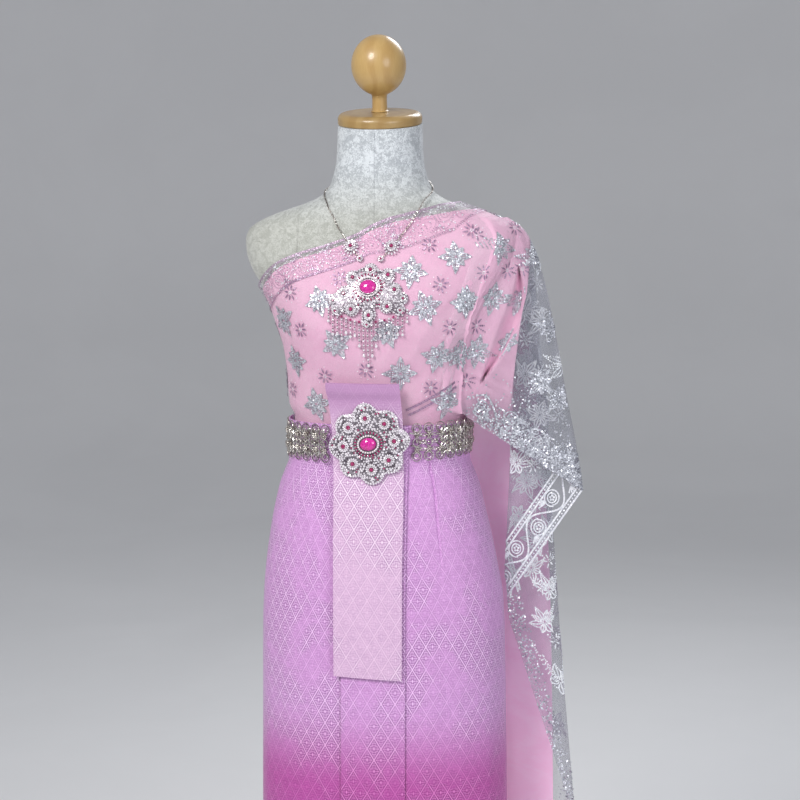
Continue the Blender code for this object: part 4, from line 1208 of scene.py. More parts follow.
def flap_grid():
    """The flap's points from its foot up: a share of each row of the panel, and a rolled edge."""
    panel = drape_points[:, : DRAPE_COLUMNS["front_edge"] + 1] + np.array([0, FLAP_BEHIND, 0])
    places, rows = np.arange(panel.shape[1]), []
    for row, over in zip(panel, panel[..., 0] - side_x(FLAP_EDGE, panel[..., 2])):
        last = np.interp(0.0, over, places) if over[-1] > 0 else places[-1]
        at = np.linspace(0, last, FLAP_COLUMNS)
        line = np.stack([np.interp(at, places, row[:, k]) for k in range(3)], axis=-1)
        rolled = [line[-1] + np.array([back, deep, 0]) for back, deep in FLAP_ROLL]
        rows.append(np.concatenate([line, rolled]))
    points = np.stack(rows)
    points[..., 1] += GROOVE * in_slit(points)
    points = kept_clear(points, clothed, SKIRT_TOP_Z, TILT_FROM_Z, FLAP_OFF_BODY)
    return np.concatenate([bridge(points[:, 0]), points], axis=1)


flap_points = flap_grid()
flap = add_piece("pink_flap", [grid_shape(flap_points)], lit_flap_satin, 70,
                 cloth_lengths(flap_points))
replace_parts(flap, "shoulder_drape")
flap_lengths = cloth_lengths(flap_points)[..., :2].max(axis=(0, 1))
print("flap across and up:", flap_lengths.round(3))

# %% Hang the tail behind it
LINING_ROWS, LINING_COLUMNS = 90, 64
LINING_WAVE, TUCKED_UNDER = 0.002, -0.14


def lining_grid():
    """The pink panel behind the net, seated on the wrap at its top."""
    lines = [fold_line(strands, LINING_ROWS) for strands in TAIL_LINING.values()]
    share = np.linspace(TUCKED_UNDER, 1, LINING_COLUMNS)[:, None, None]
    grid = (lines[0] + (lines[1] - lines[0]) * share).swapaxes(0, 1)
    down = np.linspace(0, 1, LINING_ROWS)[:, None]
    grid[:, :, 1] += LINING_WAVE * np.sin(share[:, 0, 0] * 5 * math.pi) * down**0.7
    grid = clear_of_body(grid)
    grid[0] = seated(grid[0], SEAT_GAP)
    return grid[::-1]


lining_points = lining_grid()
tail = add_piece("pink_tail", [grid_shape(lining_points)], painted_lit_lining_satin, 80,
                 cloth_lengths(lining_points))
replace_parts(tail, "tail_lining")

# %% [markdown]
# ## Sequins and embroidery
# Up close the silver flowers are hundreds of small sequins, and their glitter comes from each one
# lying at its own angle. So they are real discs of six corners, each tilted by a seeded random
# amount, on a flower drawn once in flat cloth. The flower is carried to the dress through the
# cloth's own directions at its place, and borders are carried by their distance from the edge.

# %% Sequin and thread finishes


def sparkle_material(name, dark, bright, roughness, metallic):
    """Discs that differ from one to the next, through the shade stored in each."""
    made, tree, shader = new_material(name, Metallic=metallic)
    shade = tree.node("Attribute", attribute_name="shade").outputs["Fac"]
    feed(tree, shader["Base Color"], tree.mix(shade, dark, bright))
    feed(tree, shader["Roughness"], tree.ranged(shade, 0.0, 1.0, roughness + 0.14, roughness))
    return made


silver_sequin = sparkle_material("silver_sequin", (0.34, 0.35, 0.41), (0.84, 0.86, 0.92), 0.30, 0.55)
white_thread = sparkle_material("white_thread", (0.66, 0.69, 0.75), (0.95, 0.97, 1.0), 0.40, 0.10)
lilac_thread = sparkle_material("lilac_thread", (0.26, 0.15, 0.27), (0.50, 0.34, 0.48), 0.35, 0.4)
print("sequin finishes ready")

# %% Discs on cloth
DISC_CORNERS = 6
rng = np.random.default_rng(7)


class Spots(NamedTuple):
    """Where discs lie: points in space, the cloth's normal there, and each disc's size."""

    points: np.ndarray
    normals: np.ndarray
    sizes: np.ndarray


def disc_shape(spots, tilt, lift):
    """Flat discs on cloth, each tilted at random and lifted a little off it."""
    count = len(spots.points)
    normals = unit(spots.normals + tilt * rng.normal(size=(count, 3)))
    side = unit(np.cross(normals, rng.normal(size=(count, 3))))
    other = np.cross(normals, side)
    turns = np.linspace(0, 2 * math.pi, DISC_CORNERS, endpoint=False)[None, :, None]
    spread = side[:, None] * np.cos(turns) + other[:, None] * np.sin(turns)
    middle = spots.points + spots.normals * lift
    points = middle[:, None] + spread * (spots.sizes / 2)[:, None, None]
    faces = np.arange(count * DISC_CORNERS).reshape(count, DISC_CORNERS)
    return Shape(points.reshape(-1, 3), faces)


def add_discs(name, spots, material, tilt=0.16, lift=0.0007):
    """A piece of many discs, with a random shade stored in each."""
    joined = Spots(*(np.concatenate(parts) for parts in zip(*spots)))
    shade = np.repeat(rng.random(len(joined.points)), DISC_CORNERS)
    shape = disc_shape(joined, tilt, lift)
    return add_piece(name, [shape], material, 0, shade=shade)


class Cloth:
    """A grid of cloth that flat drawings can be carried to."""

    def __init__(self, points, outward):
        self.points = points
        self.by_row = np.gradient(points, axis=0)
        self.by_column = np.gradient(points, axis=1)
        normals = unit(np.cross(self.by_column, self.by_row))
        away = np.sign((normals * (points - outward)).sum(axis=-1, keepdims=True))
        self.normals = normals * np.where(away == 0, 1, away)
        falls = np.linalg.norm(np.diff(points, axis=0), axis=-1)
        self.depth = np.vstack([np.zeros(points.shape[1]), np.cumsum(falls, axis=0)])
        edge = np.linalg.norm(np.diff(points[0], axis=0), axis=-1)
        self.edge = np.append(0, np.cumsum(edge))
        lean = (unit(np.gradient(points[0], axis=0)) * unit(points[6] - points[0])).sum(axis=-1)
        self.slant = np.clip(lean / np.sqrt(np.maximum(1 - lean**2, 0.1)), -1.5, 1.5)

    def read(self, array, row, column):
        """An array's values between the grid's points."""
        row = np.clip(row, 0, array.shape[0] - 1.001)
        column = np.clip(column, 0, array.shape[1] - 1.001)
        r, c = row.astype(int), column.astype(int)
        down, over = (row - r)[:, None], (column - c)[:, None]
        upper = array[r, c] * (1 - over) + array[r, c + 1] * over
        lower = array[r + 1, c] * (1 - over) + array[r + 1, c + 1] * over
        return upper * (1 - down) + lower * down

    def nearest(self, x, z, last_column=None):
        """The row and column of the front's point nearest to a place across and up."""
        away = np.hypot(self.points[..., 0] - x, self.points[..., 2] - z)
        away = np.where(self.points[..., 1] > 0.03, 9.0, away)[:, :last_column]
        return np.unravel_index(away.argmin(), away.shape)

    def spots(self, row, column, sizes):
        inside = (row >= 0) & (row <= self.points.shape[0] - 1)
        inside &= (column >= 0) & (column <= self.points.shape[1] - 1)
        row, column, sizes = row[inside], column[inside], sizes[inside]
        normals = unit(self.read(self.normals, row, column))
        return Spots(self.read(self.points, row, column), normals, sizes)

    def from_edge(self, along, inward, sizes):
        """A drawing laid along the first row: how far along it, and how far in, square to it."""
        slant = np.interp(along, self.edge, self.slant)
        along, inward = along - inward * slant, inward * np.sqrt(1 + slant**2)
        column = np.interp(along, self.edge, np.arange(len(self.edge)))
        first = np.clip(column.astype(int), 0, len(self.edge) - 2)
        share = column - first
        depth = self.depth[:, first] * (1 - share) + self.depth[:, first + 1] * share
        row = np.clip((depth <= inward).sum(axis=0) - 1, 0, len(depth) - 2)
        each = np.arange(len(row))
        low, high = depth[row, each], depth[row + 1, each]
        inside = (along >= 0) & (along <= self.edge[-1])
        row = row + np.clip((inward - low) / (high - low), 0, 1)
        return self.spots(row[inside], column[inside], sizes[inside])

    def flat_at(self, row, column, drawing, turn=0.0):
        """A small flat drawing laid on the cloth round one place."""
        place = np.array([row]), np.array([column])
        over, down = self.read(self.by_column, *place)[0], self.read(self.by_row, *place)[0]
        side = unit(over)
        slant = down @ side
        square = np.linalg.norm(down - slant * side)
        x = drawing[:, 0] * math.cos(turn) - drawing[:, 1] * math.sin(turn)
        y = drawing[:, 0] * math.sin(turn) + drawing[:, 1] * math.cos(turn)
        rows = y / max(square, 1e-6)
        columns = (x - rows * slant) / max(np.linalg.norm(over), 1e-6)
        return self.spots(row + rows, column + columns, drawing[:, 2])


print("cloth carrier ready")

# %% Flowers and sprays, drawn flat
SEQUIN, SMALL_SEQUIN = 0.0023, 0.0017


def petal(turn, start, reach, half_width, step, size=SEQUIN, sides=(-1, -0.35, 0.35, 1)):
    """A pointed petal: rows of sequins, curved more towards its sides."""
    long = np.arange(start, reach, step)
    share = (long - start) / (reach - start)
    rows = []
    for side in sides:
        wide = side * half_width * np.sin(math.pi * share**0.75)
        rows.append(np.stack([long, wide, np.full_like(long, size)], axis=-1))
    flat = np.concatenate(rows)
    x = flat[:, 0] * math.cos(turn) - flat[:, 1] * math.sin(turn)
    y = flat[:, 0] * math.sin(turn) + flat[:, 1] * math.cos(turn)
    return np.stack([x, y, flat[:, 2]], axis=-1)


def circle_of(radius, count, size, centre=(0.0, 0.0), turn=0.0):
    """Sequins on a circle."""
    turns = turn + np.linspace(0, 2 * math.pi, count, endpoint=False)
    x, y = centre[0] + radius * np.cos(turns), centre[1] + radius * np.sin(turns)
    return np.stack([x, y, np.full(count, size)], axis=-1)


def star_flower(scale=1.0, sides=(-1, -0.35, 0.35, 1)):
    """A star of long and short petals, about 43 mm across."""
    long = [petal(k * math.pi / 2, 0.0030, 0.0230, 0.0044, 0.0018, sides=sides) for k in range(4)]
    short = [petal((k + 0.5) * math.pi / 2, 0.0040, 0.0178, 0.0036, 0.0018, sides=sides) for k in range(4)]
    drawing = np.concatenate([*long, *short, circle_of(0.0022, 6, SMALL_SEQUIN)])
    return drawing * np.array([scale, scale, 1.0])


def spray_petals():
    """The eight slim petals of the small flower, without its dots."""
    rows = []
    for k in range(8):
        turn = (k + 0.5) * math.pi / 4
        reach = 1.0 if k % 2 else 0.82
        for radius, size in ((0.0050, 0.0017), (0.0068, 0.0026), (0.0090, 0.0028), (0.0112, 0.0018)):
            rows.append([reach * radius * math.cos(turn), reach * radius * math.sin(turn), size])
    return np.array(rows)


def spray_dots():
    """The small flower's pale dots: its middle and a ring outside the petals."""
    return np.concatenate([circle_of(0.0018, 5, 0.0017), circle_of(0.0132, 8, 0.0015)])


print("a star flower has", len(star_flower()), "sequins")

# %% Borders, drawn along an edge


class Border(NamedTuple):
    """A border's measures in metres: its width, how often its scroll repeats, and its stitches."""

    width: float
    rail: float
    pitch: float
    scroll: float
    step: float
    size: float


NECK_BORDER = Border(width=0.040, rail=0.0036, pitch=0.046, scroll=0.0112, step=0.0013, size=0.0014)
HEM_BORDER = Border(width=0.052, rail=0.0088, pitch=0.090, scroll=0.0122, step=0.0012, size=0.0029)


def stitched(along, inward, size):
    """Stitches at these places of a border."""
    along, inward = np.broadcast_arrays(along, inward)
    return np.stack([along, inward, np.full(along.shape, size)], axis=-1).reshape(-1, 3)


def spiral(centre, start, end, turns, facing, border):
    """Stitches that wind in to a point."""
    length = math.pi * (start + end) * turns
    share = np.linspace(0, 1, max(int(length / border.step), 4))
    radius = start + (end - start) * share
    angle = facing * 2 * math.pi * turns * share + (0.5 - facing) * math.pi / 2
    across, inward = centre[0] + radius * np.cos(angle), centre[1] + radius * np.sin(angle)
    return stitched(across, inward, border.size * 0.75)


def inside_border(parts, border):
    """The stitches that stay within the border's width."""
    drawing = np.concatenate(parts)
    return drawing[(drawing[:, 1] > 0.0006) & (drawing[:, 1] < border.width)]


def rails_drawing(length, border):
    """The two railed edges of a border, with dots between their rails."""
    along = np.arange(0, length, border.step)
    rails = (0.0014, border.rail, border.width - border.rail, border.width - 0.0014)
    parts = [stitched(along, rail, border.size) for rail in rails]
    dots = np.arange(0, length, border.rail * 0.62)
    for inward in (border.rail / 2 + 0.0007, border.width - border.rail / 2 - 0.0007):
        parts.append(stitched(dots, inward, border.size * 0.9))
    return inside_border(parts, border)


def vine_drawing(length, border):
    """The vine that swings between the rails, with a scroll, a flower and leaves in each bend."""
    along = np.arange(0, length, border.step)
    middle, swing = border.width / 2, border.width / 2 - border.rail - 0.0022
    wave = 2 * math.pi * along / border.pitch
    parts = [stitched(along, middle + swing * np.sin(wave), border.size)]
    for bend in range(int(2 * length / border.pitch)):
        facing = 1 if bend % 2 else -1
        centre = (border.pitch * (bend / 2 + 0.25), middle + facing * swing * 0.30)
        parts.append(spiral(centre, border.scroll, border.scroll * 0.86, 1.0, facing, border))
        parts.append(spiral(centre, border.scroll * 0.62, border.scroll * 0.52, 1.0, -facing, border))
        parts.append(circle_of(border.scroll * 0.26, 5, border.size * 1.2, centre))
        for leaf in range(6):
            lean = facing * (0.4 + 0.42 * leaf)
            root = centre[0] + border.scroll * 1.15, centre[1] + facing * swing * 0.25
            run = np.arange(0.001, 0.0100 - 0.0010 * leaf, border.step)
            across, inward = root[0] + run * np.cos(lean), root[1] + run * np.sin(lean)
            parts.append(stitched(across, inward, border.size * 0.8))
    return inside_border(parts, border)


def carried(cloth, drawing):
    """A border drawing carried to a cloth's edge."""
    return cloth.from_edge(*drawing.T)


print("one metre of hem vine takes", len(vine_drawing(1.0, HEM_BORDER)), "stitches")

# %% Sow the flowers in staggered rows


def sown(cloth, first_in, last_in, across, down, keep=lambda point: True):
    """Places for flowers in staggered rows: row, column, and whether it is the large kind."""
    places = []
    columns = np.arange(cloth.points.shape[1])
    for line, inward in enumerate(np.arange(first_in, last_in, down / 2)):
        row = np.clip((cloth.depth <= inward).sum(axis=0) - 1, 0, len(cloth.depth) - 1)
        steps = np.linalg.norm(np.diff(cloth.points[row, columns], axis=0), axis=-1)
        lengths = np.append(0, np.cumsum(steps))
        for spot in np.arange(across * (0.25 + 0.5 * (line % 2)), lengths[-1], across):
            column = np.interp(spot, lengths, columns)
            at = int(column)
            if cloth.depth[-1, at] > inward and keep(cloth.points[int(row[at]), at]):
                places.append((float(row[at]), float(column), line % 2 == 0))
    return places


def placed(cloth, places, large, last_column=None):
    """Places measured in millimetres across and up, as rows and columns of a cloth."""
    found = [cloth.nearest(x / 1000, z / 1000, last_column) for x, z in places]
    return [(float(row), float(column), large) for row, column in found]


def embroidered(cloth, places, sides=(-1, -0.35, 0.35, 1)):
    """Spots of the large flowers, of the small ones' petals, and of their dots."""
    stars, petals, dots = [], [], []
    for row, column, large in places:
        turn = rng.uniform(-0.30, 0.30)
        if large:
            stars.append(cloth.flat_at(row, column, star_flower(rng.uniform(0.93, 1.05), sides), turn))
        else:
            petals.append(cloth.flat_at(row, column, spray_petals(), turn))
            dots.append(cloth.flat_at(row, column, spray_dots(), turn))
    return stars, petals, dots


print("sowing ready")

# %% [markdown]
# ## Embroider the chest
# The border keeps to the wrap's top edge, and the flowers fill the rest. The cloth is read from its
# top row down, so that a drawing's second number is the distance in from that edge.

# %% Embroider the chest
chest_points, _ = wrap_grid(NET_OUT, rows=140, columns=420)
chest = Cloth(chest_points[::-1], outward=np.array([0.0, 0.0, 1.15]))
CHEST_STARS = ((57, 1251), (113, 1271), (-67, 1211), (77, 1203), (127, 1209), (-123, 1181), (-45, 1152))
CHEST_STARS += ((25, 1168), (90, 1136), (118, 1138), (-107, 1126), (43, 1112), (-77, 1069), (102, 1073))
CHEST_SPRAYS = ((77, 1286), (133, 1304), (-42, 1241), (95, 1234), (-111, 1220), (-96, 1171), (107, 1175))
CHEST_SPRAYS += ((-62, 1107), (81, 1093), (-114, 1084), (-5, 1118))
END_BORDER_AT, END_BORDER_LEAN, END_RAILS = (0.086, 1.0785), -0.47, (-0.0045, -0.0028, 0.0030, 0.0047)
around = sown(chest, 0.064, 0.30, 0.062, 0.072, keep=lambda point: point[1] > -0.035)
front = placed(chest, CHEST_STARS, True) + placed(chest, CHEST_SPRAYS, False)
stars, petals, dots = embroidered(chest, around + front)
border = [vine_drawing(chest.edge[-1], NECK_BORDER), rails_drawing(chest.edge[-1], NECK_BORDER)]
border = [carried(chest, drawing) for drawing in border]
end_rails = [stitched(np.arange(-0.040, 0.038, 0.0016), rail, 0.0019) for rail in END_RAILS]
border.append(chest.flat_at(*chest.nearest(*END_BORDER_AT), np.concatenate(end_rails), END_BORDER_LEAN))
along, inward = rng.uniform(0, chest.edge[-1], 1300), rng.uniform(0.001, 0.039, 1300)
glints = chest.from_edge(along, inward, rng.uniform(0.0012, 0.0021, 1300))
chest_sequins = add_discs("chest_sequins", stars, silver_sequin, tilt=0.20)
chest_petals = add_discs("chest_petals", [*border, *petals], lilac_thread, tilt=0.08)
chest_dots = add_discs("chest_dots", [glints, *dots], white_thread, tilt=0.14)

# %% [markdown]
# ## Embroider the cascade
# Along the net's hem the same kind of border is bolder and whiter, and at its front corner the
# sequins crowd together. The flowers here are white thread with silver over them.

# %% Embroider the flap
FLAP_STARS = ((127, 1209), (121, 1136), (171, 1282), (160, 1212), (140, 1140), (196, 1208), (180, 1150))
FLAP_SPRAYS = ((140, 1300), (150, 1247), (180, 1250), (140, 1176), (188, 1307), (125, 1100), (200, 1252))
on_flap = Cloth(flap_points, outward=np.array([0.12, 0.05, 1.15]))
places = placed(on_flap, FLAP_STARS, True) + placed(on_flap, FLAP_SPRAYS, False)
stars, petals, dots = embroidered(on_flap, places)
flap_sequins = add_discs("flap_sequins", stars, silver_sequin, tilt=0.20)
flap_petals = add_discs("flap_petals", petals, lilac_thread, tilt=0.08)
flap_dots = add_discs("flap_dots", dots, white_thread, tilt=0.14)

# %% Embroider the cascade
drape = Cloth(drape_points, outward=np.array([0.17, 0.05, 0.9]))
last_column = DRAPE_COLUMNS["front_edge"]
front_corner = drape.edge[last_column]
second_corner = drape.edge[last_column + DRAPE_COLUMNS["outer"]]
FRONT_STARS = ((216, 1268), (236, 1171), (226, 1096), (250, 1072))


def clear_of_border(place):
    """Whether a flower at this row and column of the cascade stays off its bold border."""
    row, column = int(place[0]), int(place[1])
    if column <= last_column:
        return drape_points[row, column, 2] < 1.03
    return drape.depth[row, column] / math.hypot(1, drape.slant[column]) > HEM_BORDER.width + 0.022


around = [place for place in sown(drape, 0.085, 1.25, 0.082, 0.098) if clear_of_border(place)]
stars, petals, dots = embroidered(drape, around, sides=(-1, 0, 1))
front_stars, _, _ = embroidered(drape, placed(drape, FRONT_STARS, True, last_column))


def on_hem(drawing, start, end):
    """The part of a border drawing between two lengths of the hem."""
    return carried(drape, drawing[(drawing[:, 0] > start) & (drawing[:, 0] < end)])


def crowded(count, start, end, width, fuller):
    """Loose sequins that crowd a length of the hem, fuller towards its end."""
    along = start + (end - start) * rng.beta(fuller, 1.0, count)
    inward = 0.001 + width * rng.beta(1.1, 1.8, count)
    return drape.from_edge(along, inward, rng.uniform(0.0016, 0.0032, count))


hem_vine, hem_rails = (draw(drape.edge[-1], HEM_BORDER) for draw in (vine_drawing, rails_drawing))
bold = [on_hem(hem_vine, front_corner, second_corner), on_hem(hem_rails, front_corner, second_corner)]
glints = [crowded(2100, 0, front_corner, 0.042, 1.7), crowded(350, 0, front_corner, 0.110, 1.5)]
glints.append(crowded(1800, second_corner, drape.edge[-1], 0.050, 1.0))
silver = [on_hem(hem_vine, 0, front_corner), *glints, *front_stars]
drape_sequins = add_discs("drape_sequins", silver, silver_sequin, tilt=0.30)
drape_threads = add_discs("drape_threads", [*bold, *dots, *petals, *stars], white_thread)
print("cascade: hem", round(float(drape.edge[-1]), 2), "m, drops", drape.depth[-1, ::34].round(2))

# %% [markdown]
# ## The brocade skirt
# The skirt is a tube with a knife pleat at the front and a sewn dart beside it. Its silk shades from
# lilac down to magenta and wine, so the colour is a ramp over height: dye, and lower down painted
# shade as well, darkest at the hem. The diamonds are woven with a brighter thread: the figure mask
# mixes that thread's colour in, lifts the surface and makes it shinier.

# %% Brocade
class Silk(NamedTuple):
    """One dyed shade of the brocade, with painted shade in the lower ones: its ground, its bright figure
    threads and its dark ones.
    """

    ground: tuple
    bright: tuple
    dark: tuple


# MAGENTA and WINE are the dye darkened further by painted shade, most at the hem
LILAC = Silk((0.72, 0.36, 0.74), (0.94, 0.68, 0.95), (0.24, 0.07, 0.28))
MAGENTA = Silk((0.53, 0.078, 0.39), (0.82, 0.30, 0.68), (0.19, 0.02, 0.15))
WINE = Silk((0.28, 0.04, 0.19), (0.48, 0.14, 0.36), (0.13, 0.014, 0.09))
PALE = Silk((0.76, 0.51, 0.72), (0.94, 0.79, 0.92), (0.38, 0.18, 0.40))
GRAIN = 0.24
DUSK = Silk((0.47, 0.25, 0.46), (0.62, 0.38, 0.60), (0.36, 0.18, 0.37))


def shaded_silk(tree, place, figure_out, clear, grain, dye_and_shade):
    """The figure in each of three shades, one below the other down the cloth, with a fine grain: dye, with
    painted shade in the lower two.
    """
    low, lower = tree.ranged(place, 0.660, 0.532), tree.ranged(place, 0.50, 0.20)
    layers = []
    for part in range(3):
        layers.append(tree.mix(lower, tree.mix(low, dye_and_shade[0][part], dye_and_shade[1][part]), dye_and_shade[2][part]))
    ground, bright, dark = layers
    speckled = tree.mix(tree.sum("MULTIPLY", grain, GRAIN), ground, dark)
    with_dark = tree.mix(tree.sum("MULTIPLY", figure_out["Dark"], clear), speckled, dark)
    return tree.mix(tree.sum("MULTIPLY", figure_out["Light"], clear), with_dark, bright)


def brocade_material(name, dye_and_shade, above=None):
    """Silk brocade, shaded by height; above is the shade of the part that stands over the belt."""
    made, tree, shader = new_material(name, Sheen_Weight=0.20)
    shader["Sheen Roughness"].default_value = 0.35
    cloth = tree.node("Attribute", attribute_name="cloth").outputs["Vector"]
    height = tree.node("SeparateXYZ", {0: cloth}).outputs[1]
    figure_out = tree.group("brocade_figure", {"Cloth": cloth, "Filigree": 0.8})
    # painted sheen: broad patches where the figure shows clearer or fainter, as the silk's sheen would make
    # it
    painted_sheen_patches = tree.group("mottle", {"Vector": cloth, "Size": 0.13, "Crush": 0.3})["Mask"]
    threads = tree.group("threads", {"Cloth": cloth, "Thread": 0.0007, "Slub": 0.6})
    clear = tree.ranged(painted_sheen_patches, 0.0, 1.0, 0.30, 0.95)
    grain = tree.group("mottle", {"Vector": cloth, "Size": 0.009, "Crush": 1.1})["Mask"]
    color = shaded_silk(tree, height, figure_out, clear, grain, dye_and_shade)
    if above:
        over = tree.ranged(height, 0.985, 1.035)
        faint = tree.sum("MULTIPLY", figure_out["Light"], 0.35)
        color = tree.mix(over, color, tree.mix(faint, above.ground, above.bright))
    feed(tree, shader["Base Color"], color)
    feed(tree, shader["Roughness"], tree.ranged(figure_out["Light"], 0.0, 1.0, 0.50, 0.36))
    relief = tree.sum("SUBTRACT", figure_out["Light"], tree.sum("MULTIPLY", figure_out["Dark"], 0.6))
    relief = tree.sum("ADD", relief, tree.sum("MULTIPLY", threads["Height"], 0.3))
    feed(tree, shader["Normal"], tree.bump(relief, 0.00010))
    return made


skirt_brocade = brocade_material("skirt_brocade", (LILAC, MAGENTA, WINE))
print("brocade ready")

# %% Build the skirt
DART_BEARING, DART_LEAN, DART_FOOT_Z, DART_DEPTH = math.radians(-52), 0.075, 0.838, 0.0022
SKIRT_ROWS, SKIRT_COLUMNS = 150, 280
HEM_TURN = ((0.030, -0.0016), (0.0015, -0.0014), (0.0, -0.0008))


def dart_depth(z, bearing):
    """How far the sewn dart pulls the skirt in: a soft valley with a sharp seam in it."""
    down = np.clip((z - DART_FOOT_Z) / (SKIRT_TOP_Z - DART_FOOT_Z), 0, 1)
    away = (wrapped(bearing) - DART_BEARING + DART_LEAN * (1 - down)) / 0.035
    crease = np.exp(-((away * 4) ** 2)) - 0.6 * np.exp(-(((away - 0.55) * 3) ** 2))
    return DART_DEPTH * np.sqrt(down) * (0.4 * np.exp(-(away**2)) + crease)


def soft_folds(z, bearing):
    """Loose folds that hang from the waist, only millimetres deep, and fuller at the hem."""
    below = np.clip((0.985 - z) / 0.25, 0, 1)
    waves = np.sin(9 * bearing + 0.6) + 0.5 * np.sin(17 * bearing + 2.0 + 1.5 * z)
    back = 0.4 + 0.6 * np.clip(np.sin(bearing) + 0.3, 0, 1)
    return 0.0011 * waves * below * back


def skirt_tube():
    """The tube from its turned-up hem to its turned-in top."""
    dart = np.linspace(DART_BEARING - DART_LEAN - 0.06, DART_BEARING + 0.08, 40)
    bearings = np.sort(np.concatenate([wrap_bearings(SKIRT_COLUMNS), dart]))
    outer = np.linspace(HEM_Z, SKIRT_EDGE_Z, SKIRT_ROWS)
    inner = [HEM_Z + rise for rise, _ in HEM_TURN]
    z = np.concatenate([inner, outer, [SKIRT_EDGE_Z, SKIRT_EDGE_Z - 0.012]])[:, None]
    shift = np.concatenate([[turn for _, turn in HEM_TURN], 0 * outer, [-0.0012, -0.0018]])[:, None]
    z, bearings = np.broadcast_arrays(z, bearings)
    out = SKIRT_WALL + shift - dart_depth(z, bearings) + soft_folds(z, bearings)
    points = moved_out(skirt, z, bearings, out)
    steps = np.linalg.norm(np.diff(points[SKIRT_ROWS // 2], axis=0), axis=1)
    along = np.append(0, np.cumsum(steps))[None]
    return points, np.stack(np.broadcast_arrays(along, z, 0 * z), axis=-1)


points, cloth = skirt_tube()
tube_skirt = add_piece("tube_skirt", [grid_shape(points)], skirt_brocade, 60, cloth)
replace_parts(tube_skirt, "skirt_right_front", "skirt_left_front", "skirt_back")

# %% [markdown]
# ## The front pleat
# The pleat is a strip folded flat down the front, whose right edge turns under. It is one grid: from
# the hidden layer round the fold and across the front, in the same silk as the skirt.

# %% Build the pleat
PLEAT_LEFT_X, PLEAT_RIGHT_X, PLEAT_UNDER_X, PLEAT_TOP_Z = -0.0370, 0.0505, -0.0300, 1.0405
PLEAT_UNDER_OUT, PLEAT_OUT = 0.0036, 0.0056
PLEAT_SIDES = 9


def pleat_grid():
    """The pleat's points: under layer, rounded fold, outer layer, and a turned left edge."""
    turns = np.linspace(-math.pi / 2, math.pi / 2, PLEAT_SIDES)
    bulge = (PLEAT_OUT - PLEAT_UNDER_OUT) / 2
    under = np.linspace(PLEAT_UNDER_X, PLEAT_RIGHT_X - 0.001, 14)
    over = np.linspace(PLEAT_RIGHT_X - 0.001, PLEAT_LEFT_X, 34)[1:]
    x = np.concatenate([under[:-1], PLEAT_RIGHT_X - 0.001 + bulge * np.cos(turns), over])
    middle = (PLEAT_OUT + PLEAT_UNDER_OUT) / 2
    fold = middle + bulge * np.sin(turns)
    out = np.concatenate([0 * under[:-1] + PLEAT_UNDER_OUT, fold, 0 * over + PLEAT_OUT])
    x = np.append(x, [PLEAT_LEFT_X - 0.0005, PLEAT_LEFT_X + 0.0008])
    out = np.append(out, [PLEAT_OUT - 0.0006, PLEAT_OUT - 0.0012])
    z = np.linspace(HEM_Z, PLEAT_TOP_Z, SKIRT_ROWS)[:, None]
    puff = 0.0006 * np.sin((x[None] - PLEAT_LEFT_X) / 0.091 * math.pi) * np.sin(z * 14)
    points = on_skirt_front(x[None], z, out[None] + np.where(out > 0.005, 1, 0) * puff)
    run = np.append(0, np.cumsum(np.hypot(np.diff(x), np.diff(out))))
    cloth = np.stack(np.broadcast_arrays(run[None], z, 0 * z), axis=-1)
    return points, cloth


points, cloth = pleat_grid()
pleat = add_piece("knife_pleat", [grid_shape(points)], skirt_brocade, 50, cloth)
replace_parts(pleat, "front_pleat")

# %% [markdown]
# ## The sash panel
# A band of the same brocade in a paler colour is folded over behind the belt. It stands up above the
# belt in a soft loop and hangs below it to a sewn hem. Its rows come from a short table of heights,
# and a few small dents where the belt grips it keep it from looking like card.

# %% Build the sash


class SashRow(NamedTuple):
    """A level of the folded sash: how far out of the skirt's surface, and its two edges."""

    z: float
    out: float
    left_x: float
    right_x: float


SASH = [
    SashRow(0.6990, 0.0093, -0.0455, 0.0460),
    SashRow(0.7700, 0.0089, -0.0460, 0.0460),
    SashRow(0.8500, 0.0089, -0.0465, 0.0455),
    SashRow(0.9200, 0.0089, -0.0470, 0.0455),
    SashRow(0.9700, 0.0089, -0.0475, 0.0450),
    SashRow(1.0150, 0.0089, -0.0485, 0.0440),
    SashRow(1.0500, 0.0091, -0.0510, 0.0430),
    SashRow(1.0770, 0.0097, -0.0540, 0.0415),
    SashRow(1.0930, 0.0125, -0.0558, 0.0405),
    SashRow(1.1000, 0.0114, -0.0562, 0.0400),
    SashRow(1.1005, 0.0085, -0.0562, 0.0400),
    SashRow(1.0900, 0.0084, -0.0550, 0.0390),
    SashRow(1.0500, 0.0084, -0.0480, 0.0390),
    SashRow(1.0020, 0.0084, -0.0450, 0.0390),
]
SASH_ROWS, SASH_COLUMNS, SASH_OUTER, SASH_HEM_DROP = 170, 30, 0.0016, 0.004

sash_brocade = brocade_material("sash_brocade", (PALE, PALE, PALE), DUSK)


